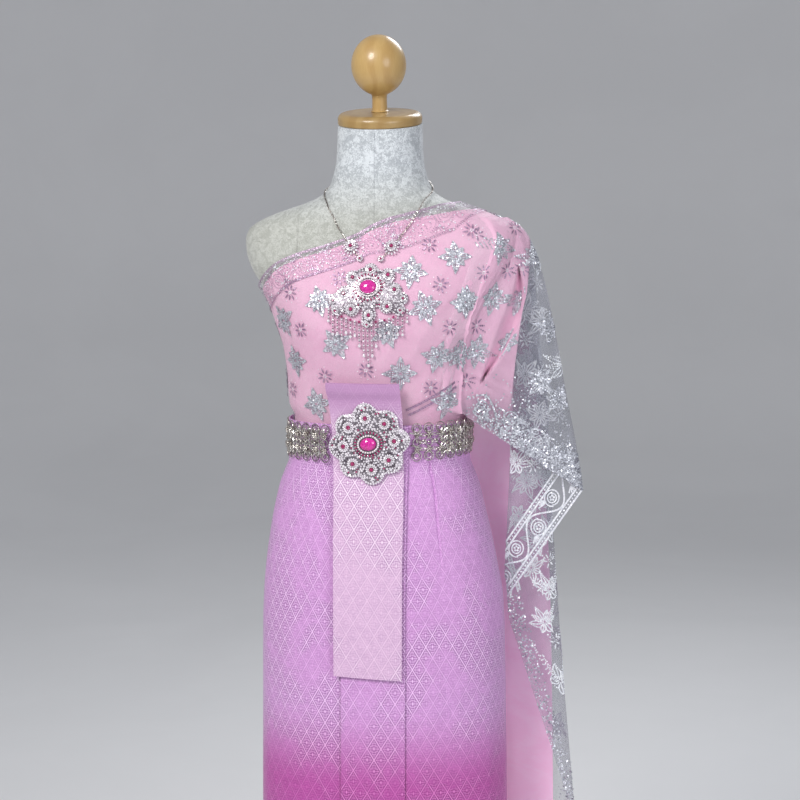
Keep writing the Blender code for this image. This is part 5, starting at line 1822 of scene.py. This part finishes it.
def sash_grid():
    """The sash's outer face, from its hem up over the fold and down behind."""
    table = np.array(SASH)
    steps = np.hypot(np.diff(table[:, 0]), np.diff(table[:, 1]))
    lengths = np.append(0, np.cumsum(steps))
    at = np.linspace(0, lengths[-1], SASH_ROWS)
    z, out, left, right = (smooth_through(lengths, table[:, k], at) for k in range(4))
    share = np.linspace(0, 1, SASH_COLUMNS)[None]
    x = left[:, None] + (right - left)[:, None] * share
    drop = SASH_HEM_DROP * share * np.clip(1 - at[:, None] / 0.12, 0, 1)
    front = at[:, None] < lengths[8]
    loop = np.exp(-(((z[:, None] - 1.068) / 0.019) ** 2))
    puff = loop * (0.0009 * np.sin(share * math.pi * 3 + 9 * at[:, None]) + 0.0040 * share**3 + 0.0006)
    sag = 0.0008 * np.sin(share * math.pi) * np.sin(at[:, None] * 21)
    grown = out[:, None] + SASH_OUTER + np.where(front, np.maximum(puff + sag, -0.0002), 0)
    points = on_skirt_front(x, z[:, None] - drop, grown)
    cloth = np.stack(np.broadcast_arrays(x, 0.65 + at[:, None], 0 * x), axis=-1)
    return points, cloth


points, cloth = sash_grid()
sash = add_piece("folded_sash", [grid_shape(points)], sash_brocade, 60, cloth)
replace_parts(sash, "sash_panel")

# %% [markdown]
# ## Metal, stones and pearls
# The jewellery is silver-toned metal set with clear and red stones. Clear stones are too small here
# to look through, so they are cut shapes with a mirror finish, which flash as cut glass does. The
# metal is darker in its low places: tarnish is a mottle mask that dulls both colour and shine.

# %% Jewellery finishes


def metal_material(name, clean, tarnished, roughness):
    """Polished metal with tarnish in patches."""
    made, tree, shader = new_material(name, Metallic=1.0)
    place = tree.node("NewGeometry").outputs["Position"]
    tarnish = tree.group("mottle", {"Vector": place, "Size": 0.006, "Crush": 0.6})
    feed(tree, shader["Base Color"], tree.mix(tarnish["Mask"], tarnished, clean))
    feed(tree, shader["Roughness"], tree.ranged(tarnish["Mask"], 0, 1, roughness + 0.18, roughness))
    feed(tree, shader["Normal"], tree.bump(tarnish["Fine"], 0.00008))
    return made


def stone_material(name, deep, bright, roughness, metallic, coat):
    """Cut or polished stone, a little different from one facet to the next."""
    made, tree, shader = new_material(name, Roughness=roughness, Metallic=metallic)
    shader["Coat Weight"].default_value = coat
    shader["Coat Roughness"].default_value = 0.03
    place = tree.node("NewGeometry").outputs["Position"]
    cloud = tree.group("mottle", {"Vector": place, "Size": 0.003, "Crush": 0.8})["Mask"]
    feed(tree, shader["Base Color"], tree.mix(cloud, deep, bright))
    return made


belt_silver = metal_material("belt_silver", (0.86, 0.83, 0.78), (0.26, 0.22, 0.20), 0.22)
# painted reflection: the pink-lilac tint of the setting silver and of the clear stones is the pink cloth
# mirrored in them
setting_silver = metal_material("setting_silver", (0.56, 0.51, 0.56), (0.16, 0.13, 0.16), 0.26)
clear_stone = stone_material("clear_stone", (0.82, 0.76, 0.83), (1.0, 0.98, 1.0), 0.12, 0.30, 0.8)
ruby = stone_material("ruby", (0.46, 0.008, 0.20), (0.80, 0.03, 0.40), 0.08, 0.0, 1.0)
small_ruby = stone_material("small_ruby", (0.22, 0.010, 0.07), (0.50, 0.035, 0.18), 0.12, 0.0, 0.8)
pearl = stone_material("pearl", (0.78, 0.70, 0.74), (0.94, 0.90, 0.90), 0.22, 0.0, 0.6)
for node in ("belt_hook_upper", "belt_hook_lower"):
    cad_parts[node].data.materials.clear()
    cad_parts[node].data.materials.append(belt_silver)
print("jewellery finishes ready")

# %% Small shapes to repeat


def bead(radius, sides=8):
    """A round bead, half sunk in what carries it."""
    turns = np.linspace(-0.25, 0.44, 5) * math.pi
    return turned_shapes([(radius * math.cos(t), radius * math.sin(t)) for t in turns], sides)


def cut_stone(radius, sides=6):
    """A stone with straight sides, sloping facets and a flat table."""
    profile = ((radius, -0.3 * radius), (radius, 0.25 * radius), (0.58 * radius, 0.8 * radius))
    return turned_shapes(profile, sides)


def stretched(shapes, factor):
    """A shape made longer across."""
    return [Shape(shape.points * np.array([factor, 1, 1]), shape.faces) for shape in shapes]


def wire_ring(radius, wire, turns=16, sides=6, stretch=1.0):
    """A ring of round wire, lying flat; stretch makes it longer one way."""
    around = np.linspace(0, 2 * math.pi, turns, endpoint=False)[:, None]
    over = np.linspace(0, 2 * math.pi, sides, endpoint=False)[None]
    reach = radius + wire * np.cos(over)
    points = [reach * np.cos(around), stretch * reach * np.sin(around), wire * np.sin(over) + 0 * around]
    closed = np.concatenate([np.stack(points, axis=-1)] * 2)[: turns + 1]
    return [grid_shape(closed, around=True)]


def frames_on(surface, u, v, out=0.0):
    """Places on a surface, with the directions across it, up it and out of it."""
    u, v = np.broadcast_arrays(np.asarray(u, float), np.asarray(v, float))
    step = 4e-4
    across = unit(surface(u + step, v, out + 0 * u) - surface(u - step, v, out + 0 * u))
    up = surface(u, v + step, out + 0 * u) - surface(u, v - step, out + 0 * u)
    outward = unit(np.cross(across, up))
    return surface(u, v, out + 0 * u), np.stack([across, np.cross(outward, across), outward], axis=-2)


def turned_frames(frames, angle):
    """Frames turned about their outward direction."""
    origins, axes = frames
    cos, sin = np.cos(angle)[..., None], np.sin(angle)[..., None]
    across, up = axes[:, 0], axes[:, 1]
    return origins, np.stack([across * cos + up * sin, up * cos - across * sin, axes[:, 2]], axis=1)


def tipped(frames, spread):
    """Frames leaning a little, each its own way, so that stones don't all flash at once."""
    origins, axes = frames
    lean = rng.normal(0, spread, (len(origins), 2))
    out = unit(axes[:, 2] + axes[:, 0] * lean[:, :1] + axes[:, 1] * lean[:, 1:])
    across = unit(axes[:, 0] - out * (axes[:, 0] * out).sum(axis=1, keepdims=True))
    return origins, np.stack([across, np.cross(out, across), out], axis=1)


print("a cut stone has", sum(len(s.faces) for s in cut_stone(0.001)), "faces")

# %% [markdown]
# ## The chain belt
# The belt is columns of silver rings, with a flower-shaped stud where two rings meet and small links
# between the columns. It follows the waist, so a place on it is a length along the waist and a height.
# One column is laid out flat, and then it is repeated round the body.

# %% Lay out the belt
BELT_OUT, BELT_OUT_AT_BUCKLE = 0.0034, 0.0078
BELT_RISE, BELT_RISE_X = 0.0065, 0.120
BELT_RIGHT_END, BELT_LEFT_END = math.radians(-59), math.radians(248)
COLUMN_PITCH = 0.0165
belt_bearings = np.linspace(BELT_RIGHT_END - 0.17, BELT_LEFT_END, 620)
belt_path = skirt(np.full(620, WAIST_Z), belt_bearings)
belt_lengths = np.append(0, np.cumsum(np.linalg.norm(np.diff(belt_path, axis=0), axis=1)))
belt_lengths -= np.interp(BELT_RIGHT_END, belt_bearings, belt_lengths)


def belt_surface(u, v, out):
    """Points on the belt: how far round from its right end, and how far above its middle."""
    bearing = np.interp(u, belt_lengths, belt_bearings)
    near = np.clip((bearing - BELT_LEFT_END) / math.radians(15) + 1, 0, 1)
    lift = BELT_OUT + near * near * (3 - 2 * near) * (BELT_OUT_AT_BUCKLE - BELT_OUT)
    level = moved_out(skirt, WAIST_Z, bearing, lift + out)
    rise = BELT_RISE * np.clip(level[..., 0] / BELT_RISE_X, 0, 1)
    return level + np.stack([0 * v, 0 * v, v + rise], axis=-1)


belt_columns = np.arange(0.0085 - COLUMN_PITCH, belt_lengths[-1] - 0.004, COLUMN_PITCH)
print("belt:", round(float(belt_lengths[-1]), 3), "m long,", len(belt_columns), "columns")

# %% Build the belt
LOOP_RADIUS, RING_RADIUS, WIRE = 0.0066, 0.0052, 0.00085


def belt_links(template, u, v, out, turn=0.0):
    """Copies of a link at these lengths round the belt and this height."""
    u = np.asarray(u, float)
    frames = frames_on(belt_surface, u, v + 0 * u, out)
    return copies(template, *turned_frames(frames, turn + 0 * u))


def belt_shapes():
    """Edge loops, middle rings, studs and the links between columns."""
    shapes, open_part = [], 1.5 * COLUMN_PITCH
    for v in (-0.0190, 0.0190):
        shapes += belt_links(wire_ring(LOOP_RADIUS, WIRE, 18), belt_columns, v, 0.0012)
        shapes += belt_links(wire_ring(0.0040, 0.0007, 12, 5), belt_columns, v * 0.95, 0.0010)
    shapes += belt_links(wire_ring(RING_RADIUS, WIRE, 16), belt_columns, 0, 0.0012)
    for v in (-0.0098, 0.0098):
        for turn in np.arange(6) * math.pi / 3:
            u = belt_columns + 0.0028 * math.cos(turn)
            shapes += belt_links(bead(0.00150, 6), u, v + 0.0028 * math.sin(turn), 0.0030)
        shapes += belt_links(bead(0.0017, 6), belt_columns, v, 0.0036)
    shapes += belt_links(bead(0.0016, 6), belt_columns, 0, 0.0024)
    half = COLUMN_PITCH / 2
    woven = np.concatenate([belt_columns + half * 0.5, belt_columns + half * 1.5])
    woven = woven[(woven > open_part) & (woven < belt_lengths[-1] - 0.004)]
    for index, v in enumerate((-0.0150, -0.0100, -0.0050, 0.0, 0.0050, 0.0100, 0.0150)):
        lean = 0.80 if index % 2 else -0.80
        shapes += belt_links(wire_ring(0.0023, 0.0009, 12, 5, 1.8), woven, v, 0.0018, lean)
    first = belt_columns[:2] + half
    for v in (-0.0098, 0.0, 0.0098):
        shapes += belt_links(wire_ring(0.0017, 0.0006, 10, 5, 2.6), first, v, 0.0016, 1.57)
    for u in (-COLUMN_PITCH, -0.5 * COLUMN_PITCH, 0.5 * COLUMN_PITCH):
        shapes += belt_links(bead(0.0021, 6), np.array([u + 0.0085]), 0.002, 0.0030)
    return shapes


chain_belt = add_piece("chain_belt", belt_shapes(), belt_silver, 60)
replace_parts(chain_belt, "belt_band")

# %% [markdown]
# ## The buckle
# The buckle is a star with four long points, bent slightly to the waist. Its plate is a low dome
# whose outline is a formula, and every stone stands on the same bent surface. Round the big oval ruby
# come a ring of pearls and a ring of small rubies, then eight rosettes, then rows along the outline.

# %% The buckle's surface and plate
BUCKLE_Z, BUCKLE_TILT, BUCKLE_BEND, BUCKLE_Y = 1.0180, math.radians(7), 0.19, -0.1072
PLATE_SIDES = 240


def buckle_surface(u, v, out):
    """Points on the bent face that the buckle is built on: u across, v up."""
    x = u * math.cos(BUCKLE_TILT) - v * math.sin(BUCKLE_TILT)
    z = u * math.sin(BUCKLE_TILT) + v * math.cos(BUCKLE_TILT)
    y = BUCKLE_Y - out + x**2 / (2 * BUCKLE_BEND)
    return np.stack(np.broadcast_arrays(x, y, BUCKLE_Z + z), axis=-1)


def buckle_reach(angles):
    """The buckle's star outline: four points with four lobes between, nearly as long."""
    return 0.0500 + 0.0070 * np.abs(np.cos(2 * angles)) ** 6 + 0.0050 * np.abs(np.sin(2 * angles)) ** 6


def scalloped(reach, lobes, depth):
    """An outline with small scallops along it."""
    return lambda angles: reach(angles) - depth * np.abs(np.sin(lobes * angles / 2))


def star_outline(angles):
    """The buckle's outline as it is cut: its lobes drawn in more sharply between the points."""
    return buckle_reach(angles) - 0.0050 * (1 - np.abs(np.cos(4 * angles))) ** 1.5


def plate_shapes(surface, reach, steps):
    """A thin plate on a surface from (share of its outline, out) pairs, back first, ends filled."""
    angles = np.linspace(0, 2 * math.pi, PLATE_SIDES, endpoint=False)
    rings = []
    for share, out in steps:
        radius = reach(angles) * share
        rings.append(surface(radius * np.cos(angles), radius * np.sin(angles), out + 0 * angles))
    order = np.arange(PLATE_SIDES)[None]
    ends = [Shape(rings[0], order[:, ::-1]), Shape(rings[-1], order)]
    return [grid_shape(np.stack(rings), around=True), *ends]


BUCKLE_STEPS = ((0.30, -0.0028), (0.65, -0.0018), (0.98, 0.0), (1.0, 0.0004), (1.0, 0.0012), (0.97, 0.0019))
BUCKLE_STEPS += ((0.90, 0.0026), (0.78, 0.0030), (0.50, 0.0034), (0.30, 0.0035))
edge = scalloped(star_outline, 40, 0.0018)
plate = add_piece("buckle_star", plate_shapes(buckle_surface, edge, BUCKLE_STEPS), setting_silver,
                  35)
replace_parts(plate, "buckle_plate")

# %% Stones for the buckle and the pendant


class Jewels:
    """Collects stones on a surface by kind, to be made into one piece each."""

    def __init__(self, surface):
        self.surface, self.taken = surface, []
        self.shapes = {"clear": [], "red": [], "pearl": [], "metal": []}

    def put(self, kind, template, u, v, out, spin=0.3):
        u, v = np.atleast_1d(u).astype(float), np.atleast_1d(v).astype(float)
        frames = turned_frames(frames_on(self.surface, u, v, out), spin + 0 * u)
        if kind == "clear":
            frames = tipped(frames, 0.16)
        self.shapes[kind] += copies(template, *frames)

    def ring(self, kind, template, centre, radii, count, out, turn=0.0):
        """Stones on an oval round a centre, each turned to point away from it."""
        turns = turn + np.linspace(0, 2 * math.pi, count, endpoint=False)
        u, v = centre[0] + radii[0] * np.cos(turns), centre[1] + radii[1] * np.sin(turns)
        self.put(kind, template, u, v, out, turns)

    def rosette(self, centre, radius, out):
        """A flower of clear stones round a red one, on a small silver cup."""
        self.taken.append((*centre, radius * 1.02, radius * 1.02))
        self.put("metal", wire_ring(radius, radius * 0.10, 24, 6), *centre, out + 0.0004)
        petal_stone = stretched(cut_stone(radius * 0.165), 1.45)
        self.ring("clear", petal_stone, centre, (radius * 0.76, radius * 0.76), 15, out + 0.0014)
        self.ring("clear", cut_stone(radius * 0.13), centre, (radius * 0.47,) * 2, 11, out + 0.0022)
        self.put("red", cut_stone(radius * 0.34, 8), *centre, out + 0.0020)

    def fill(self, reach, share, size, out):
        """Covers what is left of a plate with clear stones, a red one here and there."""
        pitch = size * 2.05
        rows, columns = np.mgrid[-24:25, -24:25]
        u, v = pitch * (columns + 0.5 * (rows % 2)).ravel(), pitch * 0.866 * rows.ravel()
        free = np.hypot(u, v) < reach(np.arctan2(v, u)) * share
        for at_u, at_v, half_width, half_height in self.taken:
            away = np.hypot((u - at_u) / half_width, (v - at_v) / half_height)
            free &= away > 1 + size / half_width * 0.5
        free &= rng.random(len(u)) < 0.90
        u, v = (along[free] + size * rng.uniform(-0.4, 0.4, int(free.sum())) for along in (u, v))
        lot = rng.random(len(u))
        height = out(np.hypot(u, v) / reach(np.arctan2(v, u)))
        for kind, chosen, radius in (("clear", lot < 0.55, size), ("clear", (lot >= 0.55) & (lot < 0.92),
                                     size * 0.78), ("red", lot >= 0.92, size * 0.75)):
            spin = rng.uniform(0, 1, int(chosen.sum()))
            self.put(kind, cut_stone(radius), u[chosen], v[chosen], height[chosen], spin)

    def along(self, reach, share, count, size, out, kind="clear"):
        """Stones that follow an outline, a share of the way out to it, evenly spaced."""
        angles = np.linspace(0, 2 * math.pi, 1500)
        u, v = reach(angles) * share * np.cos(angles), reach(angles) * share * np.sin(angles)
        lengths = np.append(0, np.cumsum(np.hypot(np.diff(u), np.diff(v))))
        at = np.linspace(0, lengths[-1], count, endpoint=False)
        self.put(kind, cut_stone(size), np.interp(at, lengths, u), np.interp(at, lengths, v), out)

    def add(self, prefix, *replaced):
        """One piece for each kind of stone; the first stands for the frame's setting."""
        kinds = {"clear": (clear_stone, "rhinestone"), "red": (small_ruby, "ruby"),
                 "pearl": (pearl, "rhinestone"), "metal": (setting_silver, "rhinestone")}
        made = {}
        for kind, (material, slot) in kinds.items():
            if self.shapes[kind]:
                angle = 0 if kind == "clear" else 50
                made[kind] = add_piece(f"{prefix}_{kind}", self.shapes[kind], material, angle)
        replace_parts(made["metal"], *replaced)
        return made


STONE_HALF_WIDTH, STONE_HALF_HEIGHT = 0.0112, 0.0088


def cabochon_shapes(surface, out):
    """The big oval ruby: a smooth dome."""
    turns = np.linspace(0, 2 * math.pi, 48, endpoint=False)
    rings = []
    for lift in np.linspace(0, 0.96, 12) * math.pi / 2:
        u = STONE_HALF_WIDTH * np.cos(turns) * math.cos(lift)
        v = STONE_HALF_HEIGHT * np.sin(turns) * math.cos(lift)
        rings.append(surface(u, v, out + 0.0054 * math.sin(lift) + 0 * u))
    return [grid_shape(np.stack(rings), around=True), Shape(rings[-1], np.arange(48)[None])]


def centre_stone(jewels, prefix, out):
    """The ruby in its collar, with its pearls and its slim rubies."""
    jewels.taken.append((0, 0, 0.0206, 0.0182))
    jewels.ring("pearl", bead(0.00160), (0, 0), (0.0139, 0.0115), 26, out + 0.0024)
    jewels.put("metal", wire_ring(0.0122, 0.0008, 40, 6, 0.80), 0, 0, out + 0.0026, 0.0)
    jewels.put("metal", wire_ring(0.0157, 0.0006, 40, 6, 0.84), 0, 0, out + 0.0014, 0.0)
    slim = stretched(cut_stone(0.00115), 1.8)
    jewels.ring("red", slim, (0, 0), (0.0182, 0.0160), 24, out + 0.0010)
    jewels.ring("clear", cut_stone(0.0008, 5), (0, 0), (0.0182, 0.0160), 24, out + 0.0010, math.pi / 24)
    stone = add_piece(f"{prefix}_cabochon", cabochon_shapes(jewels.surface, out + 0.0024), ruby, 60)
    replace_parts(stone, f"{prefix}_stone")


print("stone setter ready")

# %% Set the buckle's stones
FACE = 0.0032


def buckle_height(share):
    """How far out the buckle's face is, at a share of the way to its rim."""
    return smooth_through([0, 0.5, 0.78, 0.9, 1.0], [0.0034, 0.0033, 0.0029, 0.0025, 0.0016], share)


buckle = Jewels(buckle_surface)
centre_stone(buckle, "buckle", FACE)
for k in range(8):
    angle = k * math.pi / 4
    buckle.rosette((0.0352 * math.cos(angle), 0.0352 * math.sin(angle)), 0.0086, FACE - 0.0003)
    for radius, size in ((0.0480, 0.0021), (0.0522, 0.0017)):
        u, v = radius * math.cos(angle), radius * math.sin(angle)
        buckle.put("clear", cut_stone(size), u, v, buckle_height(np.array([radius / 0.0565])))
buckle.ring("clear", cut_stone(0.0012), (0, 0), (0.0222, 0.0200), 36, FACE)
buckle.along(star_outline, 0.965, 100, 0.00170, 0.0016)
buckle.fill(star_outline, 0.93, 0.00185, buckle_height)
buckle_pieces = buckle.add("buckle_stones", "buckle_setting")

# %% [markdown]
# ## The pendant
# The pendant is made as the buckle is, but on the curve of the chest. Its outline widens into two
# wings, and short strings of beads hang from its lower edge, longest in the middle.

# %% Set the pendant
PENDANT_Z, PENDANT_OUT = 1.2270, BODICE_OUTSIDE + 0.0014
PENDANT_RIM = ((-90, 0.0490), (-72, 0.0480), (-52, 0.0500), (-34, 0.0575), (-18, 0.0560))
PENDANT_RIM += ((8, 0.0450), (38, 0.0385), (64, 0.0335), (90, 0.0315))
PENDANT_STEPS = ((0.40, 0.0), (0.985, 0.0), (1.0, 0.0004), (0.99, 0.0010), (0.93, 0.0016), (0.84, 0.0022))
PENDANT_STEPS += ((0.60, 0.0025), (0.30, 0.0026))


def pendant_surface(u, v, out):
    """Points on the chest that the pendant is built on: u across, v up."""
    return on_chest(u, PENDANT_Z + v, PENDANT_OUT + out)


def pendant_reach(angles):
    """The pendant's outline, the same on both sides."""
    mirrored = np.degrees(np.arcsin(np.clip(np.sin(angles), -1, 1)))
    return smooth_through([r[0] for r in PENDANT_RIM], [r[1] for r in PENDANT_RIM], mirrored)


FACE = 0.0024
ROSETTES = ((0.0016, 0.0220), (-0.0220, 0.0120), (0.0255, 0.0155), (-0.0325, -0.0085), (0.0350, -0.0030))
ROSETTES += ((-0.0225, -0.0275), (0.0265, -0.0235), (0.0016, -0.0350))
WINGS = ((0.0465, -0.0140), (0.0435, -0.0285), (-0.0465, -0.0170), (-0.0435, -0.0300), (-0.0010, -0.0470))


def pendant_outline(angles):
    """The outline as it is cut: round each rosette, and drawn in between them."""
    found = np.full(np.shape(angles), 0.0270)
    for (u, v), radius in [(place, 0.0094) for place in ROSETTES] + [(place, 0.0072) for place in WINGS]:
        ahead = u * np.cos(angles) + v * np.sin(angles)
        room = radius**2 - (u * np.sin(angles) - v * np.cos(angles)) ** 2
        found = np.where(room > 0, np.maximum(found, ahead + np.sqrt(np.maximum(room, 0))), found)
    return np.minimum(found, pendant_reach(angles))


plate = add_piece("pendant_wings", plate_shapes(pendant_surface, pendant_outline, PENDANT_STEPS),
                  setting_silver, 35)
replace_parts(plate, "pendant_plate")


def pendant_height(share):
    """How far out the pendant's face is, at a share of the way to its rim."""
    return smooth_through([0, 0.6, 0.84, 0.93, 1.0], [0.0026, 0.0025, 0.0021, 0.0016, 0.0010], share)


pendant = Jewels(pendant_surface)
centre_stone(pendant, "pendant", FACE)
for centre in ROSETTES:
    pendant.rosette(centre, 0.0076, FACE - 0.0006)
for centre in WINGS:
    pendant.rosette(centre, 0.0044, FACE - 0.0012)
pendant.along(pendant_outline, 0.965, 104, 0.0016, 0.0010)
pendant.ring("clear", cut_stone(0.0011), (0, 0), (0.0218, 0.0196), 34, FACE)
pendant.fill(pendant_outline, 0.92, 0.00170, pendant_height)
FRINGE_STRANDS, FRINGE_PITCH = 19, 0.0058
for index in range(FRINGE_STRANDS):
    u = (index - FRINGE_STRANDS // 2) * FRINGE_PITCH
    drop = 0.010 + 0.038 * math.exp(-((u / 0.011) ** 2)) + 0.005 * (index % 2)
    drop += 0.012 * math.exp(-((abs(u) - 0.040) / 0.010) ** 2)
    top = -0.0465 + 0.0165 * (abs(u) / 0.052) ** 2
    places = np.arange(top, top - drop, -0.0032)
    pendant.put("metal", bead(0.0011, 6), u + 0 * places, places, 0.0010)
    pendant.put("clear", cut_stone(0.0014), u + 0 * places[::2], places[::2] - 0.0016, 0.0010)
    pendant.put("clear", cut_stone(0.0023), u, places[-1] - 0.0034, 0.0010)
    pendant.put("red" if index % 2 else "clear", cut_stone(0.0018), u, top + 0.002, 0.0012)
pendant_pieces = pendant.add("pendant_stones", "pendant_setting")

# %% [markdown]
# ## The necklace
# A fine chain runs from the pendant over the collar bones and round the neck. Each link is a small
# oval ring, turned a quarter from the one before, set along a smooth path over the form and the
# cloth. A motif of stones joins each side to the pendant.

# %% Build the necklace


class Link(NamedTuple):
    """A place on the chain, on its left half: its height and its bearing in degrees."""

    z: float
    bearing: float


CHAIN_HALF = [
    Link(1.3800, 90),
    Link(1.3790, 62),
    Link(1.3740, 35),
    Link(1.3650, 12),
    Link(1.3580, -6),
    Link(1.3500, -32),
    Link(1.3400, -54),
    Link(1.3250, -70.5),
    Link(1.3065, -77.8),
    Link(1.2790, -83.7),
    Link(1.2620, -87.4),
]
CHAIN_LIFT, LINK_PITCH = 0.0016, 0.0026
MOTIF_Z, MOTIF_BEARING, MOTIF_RADIUS = 1.2790, math.radians(6.3), 0.0085
MOTIF_OUT = BODICE_OUTSIDE + 0.0034


def chain_path(count=500):
    """The chain's route: up one side of the neck, round its back and down the other."""
    half = [(link.z, link.bearing) for link in CHAIN_HALF]
    other = [(z, 180 - degrees) for z, degrees in half[:0:-1]]
    z, degrees = np.array(other + half).T
    places = np.arange(len(z), dtype=float)
    at = np.linspace(0, places[-1], count)
    z = smooth_through(places, z, at)
    bearing = wrapped(np.radians(smooth_through(places, degrees, at)))
    on_cloth = np.clip((neckline(bearing) + 0.016 - z) / 0.010, 0, 1)
    out = CHAIN_LIFT + BODICE_OUTSIDE * on_cloth * on_cloth * (3 - 2 * on_cloth)
    path = moved_out(figure, z, bearing, out)
    return path, unit(path - moved_out(figure, z, bearing, out - 0.002))


def chain_shapes():
    """Oval links along the route, each turned a quarter from the one before."""
    path, outward = chain_path()
    lengths = np.append(0, np.cumsum(np.linalg.norm(np.diff(path, axis=0), axis=1)))
    at = np.arange(0, lengths[-1], LINK_PITCH)
    origins = np.stack([np.interp(at, lengths, path[:, k]) for k in range(3)], axis=-1)
    out = unit(np.stack([np.interp(at, lengths, outward[:, k]) for k in range(3)], axis=-1))
    ahead = unit(np.gradient(origins, axis=0))
    side = unit(np.cross(out, ahead))
    quarter = (np.arange(len(at)) % 2 == 0)[:, None]
    across = np.where(quarter, side, np.cross(ahead, side))
    axes = np.stack([across, ahead, np.cross(across, ahead)], axis=1)
    return copies(wire_ring(0.00100, 0.00042, 10, 5, 1.6), origins, axes)


necklace = add_piece("necklace_links", chain_shapes(), belt_silver, 60)
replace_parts(necklace, "necklace_chain")
for name, side in (("left", 1), ("right", -1)):
    motif = Jewels(lambda u, v, out: on_chest(u, PENDANT_Z + v, MOTIF_OUT + out))
    x = float(figure(MOTIF_Z, FRONT + side * MOTIF_BEARING)[0])
    v = MOTIF_Z - PENDANT_Z
    motif.rosette((x, v + 0.001), MOTIF_RADIUS * 0.86, 0.0)
    motif.ring("clear", stretched(cut_stone(0.0015), 1.5), (x, v), (MOTIF_RADIUS,) * 2, 13, -0.0004)
    motif.rosette((x - side * 0.0135, v - 0.0150), 0.0042, -0.0016)
    motif.add(f"motif_{name}", f"necklace_motif_{name}")
